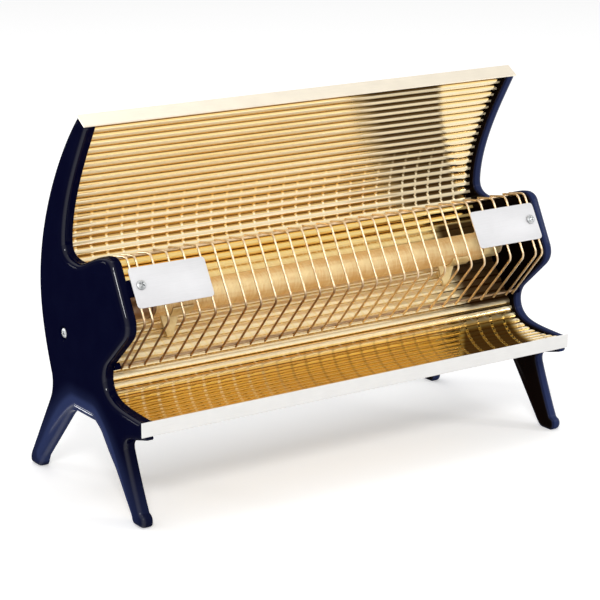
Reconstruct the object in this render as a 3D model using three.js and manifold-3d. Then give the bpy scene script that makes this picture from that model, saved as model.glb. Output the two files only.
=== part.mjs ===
// Free-standing electric bar heater: two cast cheeks on splayed legs carry a ribbed reflector,
// a wire guard and one wound heating rod. Millimetres, +Z up, X along the length, front towards -Y.
// The origin lies on the ground, midway between the cheeks.

import * as THREE from 'three';
import { mergeVertices } from 'three/addons/utils/BufferGeometryUtils.js';
import Module from 'manifold-3d';

const wasm = await Module();
wasm.setup();

// ---------------------------------------------------------------- driving dimensions
const CLEARANCE = 0.3; // gap kept between touching pieces

// Cheeks
const LENGTH = 422.8; // over the outer faces of the cheeks
const CHEEK_THICKNESS = 10.4;
const CHEEK_SKIN = 3.4; // outer wall left behind the pocket
const CHEEK_WALL = 6; // metal left around the pocket
const EDGE_ROUNDING = 3; // on the outer face's edge
const FRONT = -95; // front face of the front lip
const BACK = 95; // rearmost point of the rear feet
const HEIGHT = 309; // top of the cap strip
const SILL = 65.5; // lower edge of a cheek, between its legs
const SOLE_LENGTH = 8;

// Reflector
const SHEET = 0.8;
const REFLECTOR_INSET = 6; // from the cheek's horn to the sheet
const RIB_PITCH = 7.1;
const RIB_HEIGHT = 1.6;
const CAP_WIDTH = 14; // smooth strip along the top
const LIP_SHEET = 1; // thickness of the strip and of the front lip
const LIP_TOP = 87.5;
const LIP_DEPTH = 12;

// Guard
const WIRE_RADIUS = 1;
const CROSS_ROD_RADIUS = 1.25;
const WIRE_PITCH = 14;
const END_WIRE_GAP = 5; // from a cheek's inner face to the outermost wire
const WIRE_BEND_RADIUS = 7;
const GUARD_SLOPE_LENGTH = 54.3; // front run, from the brow to the nose
const WELD_DEPTH = 0.35;
const EAR_RADIUS = 4.5;
const EAR_LENGTH = 3.2;

// Plates
const PLATE_WIDTH = 67.8;
const PLATE_HEIGHT = 32.4;
const PLATE_THICKNESS = 1;
const PLATE_CORNER = 3;
const PLATE_GAP = 1.9; // from a cheek's inner face to the plate's outer edge
const PLATE_SCREW_INSET = 9.2; // from a cheek's inner face
const PLATE_SCREW_DROP = 14.6; // from the plate's upper edge
const PLATE_DROP = 9.5; // from the guard's brow to the plate's upper edge
const LUG_THICKNESS = 6;
const LUG_SIZE = 13;

// Heating rod
const ROD_Y = -25;
const ROD_Z = 157.7;
const CORE_RADIUS = 9.6;
const WINDING_WIRE_RADIUS = 0.8;
const WINDING_LOOPS = 24;
const WINDING_STEPS = 12; // straight stretches in one loop
const CAP_GAP = 13; // from a cheek's inner face to the end cap
const CAP_RADIUS = 11.5;
const CAP_LENGTH = 24;
const CAP_WALL = 1.1;
const STUD_RADIUS = 2.2;
const STUD_REACH = 8; // beyond the cap
const NUT_HEIGHT = 3.6;
const NUT_RADIUS = 4.4;
const BRACKET_INSET = 62; // from a cheek's inner face to the middle of a saddle bracket
const BRACKET_WIDTH = 18;
const BRACKET_SHEET = 1.2;
const BRACKET_FOOT = 14;
const RIVET_RADIUS = 1.6;
const RIVET_HEAD = 3.4;

// Tie rod and screws
const TIE_Y = 28.3;
const TIE_Z = 128.3;
const TIE_RADIUS = 5;
const TIE_BORE_DEPTH = 16;
const BOSS_RADIUS = 8;
const CHEEK_SCREW_RADIUS = 2;
const CHEEK_SCREW_HEAD = 4.2;
const RECESS_RADIUS = 5.2;
const RECESS_DEPTH = 3;
const SMALL_SCREW_RADIUS = 1.4;
const SMALL_SCREW_HEAD = 3.2;

// Back cover and what it holds
const COVER_SHEET = 1;
const COVER_INSET = 4; // from the cheek's back edge
const COVER_TOP_DROP = 12; // below the top of the cap strip
const COVER_FLOOR_Z = 92;
const COVER_FLOOR_FRONT = -22;
const COVER_LUG_LENGTH = 12;
const COVER_SCREW_HEIGHTS = [118, HEIGHT - 71];
const SLOT_COUNT = 9;
const SLOT_PITCH = 34;
const SLOT_LENGTH = 22;
const SLOT_HEIGHT = 5;
const SLOT_ROW_HEIGHTS = [206, 222];
const BLOCK_INSET = 51; // from a cheek's inner face to the middle of the terminal block
const BLOCK_Y = 8;
const BLOCK_LENGTH = 34;
const BLOCK_DEPTH = 16;
const BLOCK_HEIGHT = 14;
const GROMMET_INSET = 91; // from a cheek's inner face
const GROMMET_Z = 116;
const EARTH_SPACING = 30; // from the grommet to the earth screw
const GROMMET_RADIUS = 8;
const GROMMET_BORE = 3.6;
const LEAD_RADIUS = 1.4;
const LEAD_HOLE_INSET = 7; // from a cheek's inner face

// Facets
const ROUND = 16;
const ROUND_SMALL = 10;

// ---------------------------------------------------------------- derived places
const OUTER = LENGTH / 2;
const INNER = OUTER - CHEEK_THICKNESS;
const SHEET_END = INNER - CLEARANCE;
// The middle of each straight stretch of the winding still clears the core.
const WINDING_RADIUS =
  (CORE_RADIUS + CLEARANCE + WINDING_WIRE_RADIUS) / Math.cos(Math.PI / WINDING_STEPS);
const ROD_RADIUS = WINDING_RADIUS + WINDING_WIRE_RADIUS;
const CAP_END = INNER - CAP_GAP;
const WOUND_HALF = CAP_END - CAP_LENGTH; // the winding fills the rod between its caps
const END_WIRE_X = INNER - END_WIRE_GAP;
// Regular wires: as many as leave at least half a pitch to the outermost ones.
const WIRE_COUNT = Math.floor((2 * END_WIRE_X) / WIRE_PITCH + 1e-6);
const PLATE_SCREW_X = INNER - PLATE_SCREW_INSET;
const BRACKET_X = INNER - BRACKET_INSET;
const BLOCK_X = INNER - BLOCK_INSET;
const GROMMET_X = INNER - GROMMET_INSET;
const EARTH_X = GROMMET_X - EARTH_SPACING;
const LEAD_HOLE_X = INNER - LEAD_HOLE_INSET;
const COVER_TOP_Z = HEIGHT - COVER_TOP_DROP;

// ---------------------------------------------------------------- materials
function paint(color, roughness, metalness) {
  return new THREE.MeshStandardMaterial({ color, roughness, metalness });
}
const NAVY = paint(0x0b1030, 0.22, 0);
const GOLD = paint(0xd9b15f, 0.25, 1);
const CHROME = paint(0xd8cfb8, 0.2, 1);
const BRUSHED = paint(0xe6e6e8, 0.38, 1);
const STEEL = paint(0xb9bcc2, 0.3, 1);
const CERAMIC = paint(0xd8b48a, 0.8, 0);
const RESISTANCE = paint(0xb08858, 0.5, 1);
const BRASS = paint(0xc9a34f, 0.35, 1);
const PORCELAIN = paint(0xf0ece2, 0.4, 0);
const RUBBER = paint(0x141416, 0.8, 0);
const LEAD_SLEEVE = paint(0xe8e4d8, 0.85, 0);

// ---------------------------------------------------------------- plane helpers
// A section point (y, z) is kept as a Vector2 whose x is the object's y and whose y is its z.
const at = (y, z) => new THREE.Vector2(y, z);
const ALONG_X = new THREE.Matrix4().makeBasis(
  new THREE.Vector3(0, 1, 0),
  new THREE.Vector3(0, 0, 1),
  new THREE.Vector3(1, 0, 0),
);
const leftOf = (direction) => at(-direction.y, direction.x).normalize();
const along = (point, direction, distance) => point.clone().addScaledVector(direction, distance);
const inSpace = (x, point) => new THREE.Vector3(x, point.x, point.y);

// Points of a curve moved sideways, to the left of its direction.
function offsetCurve(curve, distance, count) {
  const points = [];
  for (let i = 0; i <= count; i += 1) {
    const u = i / count;
    points.push(along(curve.getPointAt(u), leftOf(curve.getTangentAt(u)), distance));
  }
  return points;
}

// ---------------------------------------------------------------- solid helpers
function toSolid(geometry) {
  const bare = geometry.clone();
  bare.deleteAttribute('normal');
  bare.deleteAttribute('uv');
  const merged = mergeVertices(bare, 1e-4);
  const vertProperties = new Float32Array(merged.attributes.position.array);
  const triVerts = new Uint32Array(merged.index.array);
  return new wasm.Manifold(new wasm.Mesh({ numProp: 3, vertProperties, triVerts }));
}

function toGeometry(solid) {
  const mesh = solid.getMesh();
  const geometry = new THREE.BufferGeometry();
  geometry.setAttribute('position', new THREE.BufferAttribute(mesh.vertProperties, 3));
  geometry.setIndex(new THREE.BufferAttribute(mesh.triVerts, 1));
  geometry.computeVertexNormals();
  return geometry;
}

function carve(base, joined, cut) {
  let solid = toSolid(base);
  for (const geometry of joined) solid = solid.add(toSolid(geometry));
  for (const geometry of cut) solid = solid.subtract(toSolid(geometry));
  return toGeometry(solid);
}

function mirrored(geometry) {
  const copy = geometry.clone().scale(-1, 1, 1);
  const index = copy.index.array;
  for (let i = 0; i < index.length; i += 3) {
    [index[i], index[i + 1]] = [index[i + 1], index[i]];
  }
  return copy;
}

// A (y, z) section drawn out along X.
function prism(points, fromX, toX) {
  const shape = points instanceof THREE.Shape ? points : new THREE.Shape(points);
  const settings = { depth: toX - fromX, bevelEnabled: false, curveSegments: 8 };
  return new THREE.ExtrudeGeometry(shape, settings).applyMatrix4(ALONG_X).translate(fromX, 0, 0);
}

// A strip of constant thickness along a (y, z) line, drawn out along X.
function stripPrism(line, thickness, fromX, toX) {
  const left = [];
  const right = [];
  line.forEach((point, i) => {
    const before = line[Math.max(i - 1, 0)];
    const after = line[Math.min(i + 1, line.length - 1)];
    const incoming = point.clone().sub(before).normalize();
    const outgoing = after.clone().sub(point).normalize();
    const side = leftOf(incoming.clone().add(outgoing));
    const straight = incoming.lengthSq() > 0 ? leftOf(incoming) : leftOf(outgoing);
    const reach = thickness / 2 / Math.max(side.dot(straight), 0.5);
    left.push(along(point, side, reach));
    right.push(along(point, side, -reach));
  });
  return prism([...left, ...right.reverse()], fromX, toX);
}

// A turned piece whose axis is X: its profile is a list of [x, radius], closed on itself.
function turned(profile, segments = ROUND) {
  const closed = [...profile, profile[0]].map(([x, radius]) => new THREE.Vector2(radius, x));
  const geometry = new THREE.LatheGeometry(closed, segments);
  return geometry.rotateZ(-Math.PI / 2);
}

const barX = (fromX, toX, radius, y, z, segments = ROUND) =>
  turned([[fromX, 0], [fromX, radius], [toX, radius], [toX, 0]], segments).translate(0, y, z);

// A turned piece whose own +X is laid along a (y, z) direction.
function turnedAlong(profile, direction, x, point, segments = ROUND_SMALL) {
  const axis = new THREE.Vector3(0, direction.x, direction.y);
  const turn = new THREE.Quaternion().setFromUnitVectors(new THREE.Vector3(1, 0, 0), axis);
  return turned(profile, segments).applyQuaternion(turn).translate(x, point.x, point.y);
}

function hole(radius, direction, x, point, reach, segments = ROUND_SMALL) {
  const profile = [[-reach, 0], [-reach, radius], [reach, radius], [reach, 0]];
  return turnedAlong(profile, direction, x, point, segments);
}

// A round wire along a list of 3-D points, closed by a fan at each end.
function wire(points, radius, sides) {
  const vertices = [];
  const faces = [];
  let normal = new THREE.Vector3();
  points.forEach((point, i) => {
    const before = points[Math.max(i - 1, 0)];
    const after = points[Math.min(i + 1, points.length - 1)];
    const tangent = after.clone().sub(before).normalize();
    if (i === 0) {
      const helper = Math.abs(tangent.x) < 0.9 ? new THREE.Vector3(1, 0, 0) : new THREE.Vector3(0, 0, 1);
      normal = helper;
    }
    normal = normal.clone().addScaledVector(tangent, -normal.dot(tangent)).normalize();
    const other = tangent.clone().cross(normal);
    for (let k = 0; k < sides; k += 1) {
      const angle = (k / sides) * 2 * Math.PI;
      const spot = point.clone().addScaledVector(normal, radius * Math.cos(angle));
      vertices.push(...spot.addScaledVector(other, radius * Math.sin(angle)));
    }
  });
  const last = (points.length - 1) * sides;
  for (let start = 0; start < last; start += sides) {
    for (let k = 0; k < sides; k += 1) {
      const a = start + k;
      const b = start + ((k + 1) % sides);
      faces.push(a, b, a + sides, b, b + sides, a + sides);
    }
  }
  for (let k = 1; k < sides - 1; k += 1) {
    faces.push(0, k + 1, k, last, last + k, last + k + 1);
  }
  const geometry = new THREE.BufferGeometry();
  geometry.setAttribute('position', new THREE.Float32BufferAttribute(vertices, 3));
  geometry.setIndex(faces);
  return geometry;
}

// A line in space with every inner corner replaced by an arc-like curve of the given reach.
function roundedLine(corners, reach, steps) {
  const line = [corners[0]];
  for (let i = 1; i < corners.length - 1; i += 1) {
    const corner = corners[i];
    const enter = along(corner, corners[i - 1].clone().sub(corner).normalize(), reach);
    const leave = along(corner, corners[i + 1].clone().sub(corner).normalize(), reach);
    line.push(...new THREE.QuadraticBezierCurve3(enter, corner, leave).getPoints(steps));
  }
  line.push(corners[corners.length - 1]);
  return line;
}

// ---------------------------------------------------------------- the cheek's outline
const APEX = at(-5.5, HEIGHT);
const capDirection = at(-0.839, -0.544).normalize(); // from the apex down to the brow
const capNormal = leftOf(capDirection).negate(); // up and to the front
const BROW = along(APEX, capDirection, CAP_WIDTH);
const HORN_FOOT = at(25.8, 202);
const horn = new THREE.CubicBezierCurve(BROW, at(-4, HEIGHT - 30), at(25, HEIGHT - 72), HORN_FOOT);
const SHOULDER = at(67.7, 160);
const HEEL = at(52.5, 88);
const upperBack = new THREE.CubicBezierCurve(SHOULDER, at(67, HEIGHT - 94), at(30, HEIGHT - 34), APEX);
const lowerBack = new THREE.CubicBezierCurve(HEEL, at(60, 108), at(68, 133), SHOULDER);

function frontOutline(shape) {
  shape.moveTo(APEX.x, APEX.y);
  shape.lineTo(BROW.x, BROW.y);
  shape.bezierCurveTo(horn.v1.x, horn.v1.y, horn.v2.x, horn.v2.y, HORN_FOOT.x, HORN_FOOT.y);
  shape.bezierCurveTo(25.8, 194, 19, 190.2, 5.2, 190.2); // inner corner below the horn
  shape.bezierCurveTo(-8, 190.5, -24, 203.5, -42, 204.5); // top of the nose
  shape.quadraticCurveTo(-50.5, 204.5, -53.5, 197);
  shape.lineTo(-70.5, 164); // nose, facing the front
  shape.quadraticCurveTo(-76.5, 152.5, -67, 143.6);
  shape.lineTo(-40.5, 119.5);
  shape.bezierCurveTo(-33.5, 113, -33, 103, -38, 97); // waist
  shape.bezierCurveTo(-45, 89.5, -55, 88, FRONT, 86.9);
}

function frontLeg(shape) {
  shape.lineTo(FRONT, 73); // ledge below the front lip
  shape.lineTo(-78, 68.5);
  shape.bezierCurveTo(-69, 66.5, -64.5, 63, -66.2, 57);
  shape.quadraticCurveTo(-74.5, 35, -86.3, 11);
  shape.bezierCurveTo(-92.8, 10.5, -93, 0, -86, 0);
  shape.lineTo(-86 + SOLE_LENGTH, 0);
  shape.bezierCurveTo(-74, 0, -71.8, 2, -69, 5.7);
  shape.lineTo(-30, 57.7);
  shape.quadraticCurveTo(-24.1, SILL, -15, SILL);
}

function rearLeg(shape) {
  shape.lineTo(14, SILL);
  shape.quadraticCurveTo(23.8, SILL, 31, 57.7);
  shape.lineTo(74, 11.3);
  shape.bezierCurveTo(77.5, 7.5, 78, 0, 82, 0);
  shape.lineTo(82 + SOLE_LENGTH, 0);
  shape.bezierCurveTo(BACK + 1.75, 0, BACK + 1.4, 7.5, 91, 14.5);
  shape.lineTo(57.5, 66.5);
  shape.quadraticCurveTo(50.5, 77, HEEL.x, HEEL.y);
}

function cheekOutline() {
  const shape = new THREE.Shape();
  frontOutline(shape);
  frontLeg(shape);
  rearLeg(shape);
  const lower = lowerBack;
  const upper = upperBack;
  shape.bezierCurveTo(lower.v1.x, lower.v1.y, lower.v2.x, lower.v2.y, SHOULDER.x, SHOULDER.y);
  shape.bezierCurveTo(upper.v1.x, upper.v1.y, upper.v2.x, upper.v2.y, APEX.x, APEX.y);
  return shape;
}

// ---------------------------------------------------------------- the reflector's line
const hornBehind = offsetCurve(horn, REFLECTOR_INSET, 12);
const bowlTop = hornBehind[hornBehind.length - 1];
const BOWL_FOOT = at(-28, 104);
const reflectorLine = new THREE.CurvePath();
reflectorLine.add(new THREE.SplineCurve(hornBehind));
reflectorLine.add(new THREE.CubicBezierCurve(bowlTop, at(32.8, 170), at(-8, 135), BOWL_FOOT));
const floorEnd = at(FRONT + LIP_SHEET / 2, LIP_TOP - 1);
reflectorLine.add(new THREE.CubicBezierCurve(BOWL_FOOT, at(-36, 86), at(-62, 82), floorEnd));
const reflectorLength = reflectorLine.getLength();
const RIB_COUNT = Math.round(reflectorLength / RIB_PITCH);

// The point of the reflector's line that lies nearest to a given (y, z) point.
function nearestOnReflector(point) {
  let best = 0;
  const steps = 400;
  for (let i = 0; i <= steps; i += 1) {
    const distance = reflectorLine.getPointAt(i / steps).distanceTo(point);
    if (distance < reflectorLine.getPointAt(best).distanceTo(point)) best = i / steps;
  }
  return best;
}

// The reflector's front normal turns to the right of the line as it runs down to the front lip.
const frontNormal = (u) => leftOf(reflectorLine.getTangentAt(u)).negate();

function ribbedSheet() {
  const heights = [[0, -0.5], [0.15, 0.2], [0.5, 0.5], [0.85, 0.2]];
  const front = [];
  const back = [];
  const addPair = (u, height) => {
    const crest = along(reflectorLine.getPointAt(u), frontNormal(u), height * RIB_HEIGHT);
    front.push(crest);
    back.push(along(crest, frontNormal(u), -SHEET));
  };
  for (let rib = 0; rib < RIB_COUNT; rib += 1) {
    for (const [part, height] of heights) addPair((rib + part) / RIB_COUNT, height);
  }
  addPair(1, -0.5);
  return prism([...front, ...back.reverse()], -SHEET_END, SHEET_END);
}

// ---------------------------------------------------------------- bracket and guard places
const rodCentre = at(ROD_Y, ROD_Z);
const bracketU = nearestOnReflector(at(-10, 127.9));
const bracketNormal = frontNormal(bracketU);
const bracketSeat = along(
  reflectorLine.getPointAt(bracketU),
  bracketNormal,
  RIB_HEIGHT / 2 + CLEARANCE,
);
const leadU = nearestOnReflector(at(14, ROD_Z));

const slopeDown = at(-0.5, -0.866).normalize(); // the guard's front run
const slopeOut = leftOf(slopeDown).negate(); // away from the heating rod
const GUARD_TOP = at(-32, 202);
const GUARD_BROW = at(-49.5, 205);
const GUARD_NOSE = along(GUARD_BROW, slopeDown, GUARD_SLOPE_LENGTH);
const GUARD_FOOT = at(-37.6, 115.7);

// ---------------------------------------------------------------- sub-parts
function cheek() {
  const depth = CHEEK_THICKNESS - EDGE_ROUNDING + 2 * EDGE_ROUNDING;
  const settings = {
    depth,
    steps: 1,
    curveSegments: 7,
    bevelEnabled: true,
    bevelSize: EDGE_ROUNDING,
    bevelThickness: EDGE_ROUNDING,
    bevelOffset: -EDGE_ROUNDING,
    bevelSegments: 2,
  };
  const plate = new THREE.ExtrudeGeometry(cheekOutline(), settings).applyMatrix4(ALONG_X);
  plate.translate(OUTER - EDGE_ROUNDING - depth, 0, 0);
  const inside = new THREE.BoxGeometry(4 * CHEEK_THICKNESS, 2 * (BACK - FRONT), 2 * HEIGHT);
  inside.translate(INNER - 2 * CHEEK_THICKNESS, 0, HEIGHT / 2);
  const joined = [cheekBoss(), plateLug(), guardEar(), ...COVER_SCREW_HEIGHTS.map(coverLug)];
  return carve(
    toGeometry(toSolid(plate).subtract(toSolid(inside)).subtract(toSolid(pocket()))),
    joined,
    [capSeat(), lipSeat(), ...cheekHoles()],
  );
}

// The hollow on the inner side, between the reflector and the back edge.
function pocket() {
  const behindSheet = reflectorLine.getPointAt(0).x;
  const from = 0.1;
  const to = 0.62;
  const sheetSide = [];
  for (let i = 0; i <= 14; i += 1) {
    const u = from + ((to - from) * i) / 14;
    sheetSide.push(along(reflectorLine.getPointAt(u), frontNormal(u), -CHEEK_WALL));
  }
  const backSide = [
    ...offsetCurve(lowerBack, CHEEK_WALL, 5),
    ...offsetCurve(upperBack, CHEEK_WALL, 12).slice(1),
  ].filter((point) => point.y > HEEL.y + 10 && point.y < HEIGHT - 41 && point.x > behindSheet);
  return prism([...sheetSide, ...backSide], INNER - 1, OUTER - CHEEK_SKIN);
}

const cheekBoss = () => barX(INNER, OUTER - CHEEK_SKIN / 2, BOSS_RADIUS, TIE_Y, TIE_Z);

// Lug behind the guard's front run that takes the plate's screw.
function plateLug() {
  const middle = plateSpot(PLATE_SCREW_DROP, -WIRE_RADIUS - CLEARANCE);
  const corners = [
    along(middle, slopeDown, -LUG_SIZE / 2),
    along(middle, slopeDown, LUG_SIZE / 2),
  ];
  const deep = corners.map((corner) => along(corner, slopeOut, -LUG_THICKNESS)).reverse();
  return prism([...corners, ...deep], PLATE_SCREW_X - LUG_SIZE / 2, INNER + 2);
}

// Ear on the inner face that takes the end of the guard's lower cross rod.
const guardEar = () =>
  barX(INNER - EAR_LENGTH, INNER + 3, EAR_RADIUS, GUARD_FOOT.x, GUARD_FOOT.y, ROUND_SMALL);

// A point on the plate's slope, given by its drop from the plate's upper edge and its height
// above the middle of the guard's wires.
function plateSpot(drop, height) {
  const upperEdge = along(GUARD_BROW, slopeDown, PLATE_DROP);
  return along(along(upperEdge, slopeDown, drop), slopeOut, height);
}

const coverLine = () => [
  ...offsetCurve(upperBack, COVER_INSET, 14).reverse().filter((point) => point.y < COVER_TOP_Z),
  ...offsetCurve(lowerBack, COVER_INSET, 6).reverse().slice(1),
].filter((point) => point.y > COVER_FLOOR_Z + 6);

// The cover's place and slope at a height.
function coverAt(z) {
  const line = coverLine();
  const below = line.findIndex((point) => point.y < z);
  const upper = line[below - 1];
  const lower = line[below];
  const share = (upper.y - z) / (upper.y - lower.y);
  const direction = lower.clone().sub(upper).normalize();
  return { point: upper.clone().lerp(lower, share), out: leftOf(direction) };
}

function coverLug(z) {
  const { point, out } = coverAt(z);
  const slope = leftOf(out);
  const seat = along(point, out, -COVER_SHEET / 2 - CLEARANCE);
  const near = [along(seat, slope, LUG_SIZE / 2), along(seat, slope, -LUG_SIZE / 2)];
  const far = near.map((corner) => along(corner, out, -LUG_THICKNESS - 2)).reverse();
  return prism([...near, ...far], INNER - COVER_LUG_LENGTH, OUTER - CHEEK_SKIN / 2);
}

// The cap strip lies on the cheek's top, and the front lip on its tip.
function capSeat() {
  const drop = LIP_SHEET + CLEARANCE;
  const low = [along(APEX, capDirection, -12), along(APEX, capDirection, CAP_WIDTH + 4)];
  const seat = low.map((corner) => along(corner, capNormal, -drop));
  const above = low.map((corner) => along(corner, capNormal, 8)).reverse();
  return prism([...seat, ...above], INNER - 1, OUTER + 1);
}

function lipSeat() {
  const back = FRONT + LIP_SHEET + CLEARANCE;
  const low = LIP_TOP - LIP_DEPTH - CLEARANCE;
  return prism(
    [at(FRONT - 5, low), at(back, low), at(back, LIP_TOP + 5), at(FRONT - 5, LIP_TOP + 5)],
    INNER - 1,
    OUTER + 1,
  );
}

function cheekHoles() {
  const screwHole = CHEEK_SCREW_RADIUS + CLEARANCE;
  const rodHole = CROSS_ROD_RADIUS + CLEARANCE;
  const foot = GUARD_FOOT;
  const holes = [
    barX(INNER - 1, OUTER + 1, screwHole, TIE_Y, TIE_Z, ROUND_SMALL),
    barX(OUTER - RECESS_DEPTH, OUTER + 1, RECESS_RADIUS, TIE_Y, TIE_Z),
    barX(INNER - EAR_LENGTH - 1, INNER + 1, rodHole, foot.x, foot.y, ROUND_SMALL),
    hole(
      SMALL_SCREW_RADIUS + CLEARANCE,
      slopeOut,
      PLATE_SCREW_X,
      plateSpot(PLATE_SCREW_DROP, -LUG_THICKNESS),
      LUG_THICKNESS + 4,
    ),
  ];
  for (const z of COVER_SCREW_HEIGHTS) {
    const { point, out } = coverAt(z);
    holes.push(hole(SMALL_SCREW_RADIUS + CLEARANCE, out, coverScrewX(), point, LUG_THICKNESS + 1));
  }
  return holes;
}

const coverScrewX = () => INNER - COVER_LUG_LENGTH / 2;

function reflector() {
  const low = along(APEX, capNormal, -LIP_SHEET);
  const strip = [APEX, BROW, along(BROW, capNormal, -LIP_SHEET), low];
  const lip = [
    at(FRONT, LIP_TOP - LIP_DEPTH),
    at(FRONT + LIP_SHEET, LIP_TOP - LIP_DEPTH),
    at(FRONT + LIP_SHEET, LIP_TOP),
    at(FRONT, LIP_TOP),
  ];
  const joined = [prism(strip, -OUTER, OUTER), prism(lip, -OUTER, OUTER)];
  const cut = [];
  for (const side of [-1, 1]) {
    const seat = along(bracketSeat, bracketNormal, -RIB_HEIGHT);
    cut.push(hole(RIVET_RADIUS + CLEARANCE, bracketNormal, side * BRACKET_X, seat, 6));
    const leadSpot = reflectorLine.getPointAt(leadU);
    const leadHole = LEAD_RADIUS + 1;
    cut.push(hole(leadHole, at(-1, 0), side * LEAD_HOLE_X, at(leadSpot.x, ROD_Z), 8));
  }
  return carve(ribbedSheet(), joined, cut);
}

function guard() {
  const overlap = WIRE_RADIUS + CROSS_ROD_RADIUS - WELD_DEPTH;
  const topRun = GUARD_TOP.clone().sub(GUARD_BROW).normalize();
  const lowRun = GUARD_FOOT.clone().sub(GUARD_NOSE).normalize();
  const topRod = along(GUARD_TOP, leftOf(topRun), -overlap);
  const tail = along(GUARD_FOOT, leftOf(lowRun), -overlap);
  const corners = [
    along(GUARD_TOP, topRun, 2),
    GUARD_BROW,
    GUARD_NOSE,
    along(tail, lowRun, 2),
  ];
  const line = roundedLine(corners.map((corner) => inSpace(0, corner)), WIRE_BEND_RADIUS, 3);
  const places = [];
  for (let i = 0; i < WIRE_COUNT; i += 1) places.push((i - (WIRE_COUNT - 1) / 2) * WIRE_PITCH);
  places.push(-END_WIRE_X, END_WIRE_X);
  const wires = places.map((x) => wire(line, WIRE_RADIUS, 5).translate(x, 0, 0));
  const topEnd = SHEET_END;
  const footEnd = INNER + 1 - CLEARANCE;
  const topBar = barX(-topEnd, topEnd, CROSS_ROD_RADIUS, topRod.x, topRod.y, 8);
  const footBar = barX(-footEnd, footEnd, CROSS_ROD_RADIUS, GUARD_FOOT.x, GUARD_FOOT.y, 8);
  return carve(topBar, [...wires, footBar], []);
}

function roundedPlate() {
  const w = PLATE_WIDTH / 2;
  const h = PLATE_HEIGHT / 2;
  const r = PLATE_CORNER;
  const shape = new THREE.Shape();
  shape.absarc(w - r, h - r, r, 0, Math.PI / 2);
  shape.absarc(r - w, h - r, r, Math.PI / 2, Math.PI);
  shape.absarc(r - w, r - h, r, Math.PI, 1.5 * Math.PI);
  shape.absarc(w - r, r - h, r, 1.5 * Math.PI, 2 * Math.PI);
  return shape;
}

// One bare plate on the guard's front run; its own +Z is laid along the slope's outward normal.
function guardPlate(side) {
  const sheet = new THREE.ExtrudeGeometry(roundedPlate(), {
    depth: PLATE_THICKNESS,
    bevelEnabled: false,
    curveSegments: 4,
  });
  const basis = new THREE.Matrix4().makeBasis(
    new THREE.Vector3(1, 0, 0),
    new THREE.Vector3(0, -slopeDown.x, -slopeDown.y),
    new THREE.Vector3(0, slopeOut.x, slopeOut.y),
  );
  const middle = plateSpot(PLATE_HEIGHT / 2, WIRE_RADIUS + CLEARANCE);
  const x = side * (INNER - PLATE_GAP - PLATE_WIDTH / 2);
  sheet.applyMatrix4(basis).translate(x, middle.x, middle.y);
  const spot = plateSpot(PLATE_SCREW_DROP, 0);
  const screwX = side * PLATE_SCREW_X;
  return carve(sheet, [], [hole(SMALL_SCREW_RADIUS + CLEARANCE, slopeOut, screwX, spot, 5)]);
}

// A domed screw: its seat is at x = 0, its head towards +X.
function screwProfile(radius, head, headHeight, length) {
  return [
    [-length, 0],
    [-length, radius],
    [0, radius],
    [0, head],
    [headHeight * 0.45, head],
    [headHeight * 0.85, head * 0.72],
    [headHeight, head * 0.3],
    [headHeight, 0],
  ];
}

function plateScrew(side) {
  const seat = plateSpot(PLATE_SCREW_DROP, WIRE_RADIUS + 2 * CLEARANCE + PLATE_THICKNESS);
  const length = PLATE_THICKNESS + 2 * WIRE_RADIUS + 3 * CLEARANCE + LUG_THICKNESS + 1;
  const profile = screwProfile(SMALL_SCREW_RADIUS, SMALL_SCREW_HEAD, 1.8, length);
  return turnedAlong(profile, slopeOut, side * PLATE_SCREW_X, seat);
}

function coverScrew(side, z) {
  const { point, out } = coverAt(z);
  const seat = along(point, out, COVER_SHEET / 2 + CLEARANCE);
  const length = COVER_SHEET + 2 * CLEARANCE + LUG_THICKNESS;
  const profile = screwProfile(SMALL_SCREW_RADIUS, SMALL_SCREW_HEAD, 1.8, length);
  return turnedAlong(profile, out, side * coverScrewX(), seat);
}

function tieRod() {
  const end = SHEET_END;
  const bore = CHEEK_SCREW_RADIUS + CLEARANCE;
  const deep = end - TIE_BORE_DEPTH;
  const profile = [
    [-deep, 0],
    [-deep, bore],
    [-end, bore],
    [-end, TIE_RADIUS],
    [end, TIE_RADIUS],
    [end, bore],
    [deep, bore],
    [deep, 0],
  ];
  return turned(profile).translate(0, TIE_Y, TIE_Z);
}

function cheekScrew() {
  const seat = OUTER - RECESS_DEPTH + CLEARANCE;
  const length = seat - SHEET_END + TIE_BORE_DEPTH - 3;
  const profile = screwProfile(CHEEK_SCREW_RADIUS, CHEEK_SCREW_HEAD, 2.4, length);
  return turned(profile).translate(seat, TIE_Y, TIE_Z);
}

function elementCore() {
  const end = CAP_END - CAP_WALL - 1;
  const bore = STUD_RADIUS + CLEARANCE;
  const deep = end - 18;
  const profile = [
    [-deep, 0],
    [-deep, bore],
    [-end, bore],
    [-end, CORE_RADIUS],
    [end, CORE_RADIUS],
    [end, bore],
    [deep, bore],
    [deep, 0],
  ];
  return turned(profile, 24).translate(0, ROD_Y, ROD_Z);
}

// The resistance wire: one unbroken helix with a straight tail at each end.
function windingLine() {
  const tail = 2 * WINDING_WIRE_RADIUS;
  const end = WOUND_HALF - CLEARANCE;
  const start = end - 2 * tail;
  const total = WINDING_LOOPS * WINDING_STEPS;
  const line = [-end, -end + tail].map(
    (x) => new THREE.Vector3(x, ROD_Y, ROD_Z + WINDING_RADIUS),
  );
  for (let i = 0; i <= total; i += 1) {
    const angle = (i / WINDING_STEPS) * 2 * Math.PI;
    const x = -start + (2 * start * i) / total;
    const y = ROD_Y + WINDING_RADIUS * Math.sin(angle);
    line.push(new THREE.Vector3(x, y, ROD_Z + WINDING_RADIUS * Math.cos(angle)));
  }
  for (const x of [end - tail, end]) line.push(new THREE.Vector3(x, ROD_Y, ROD_Z + WINDING_RADIUS));
  return line;
}

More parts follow.
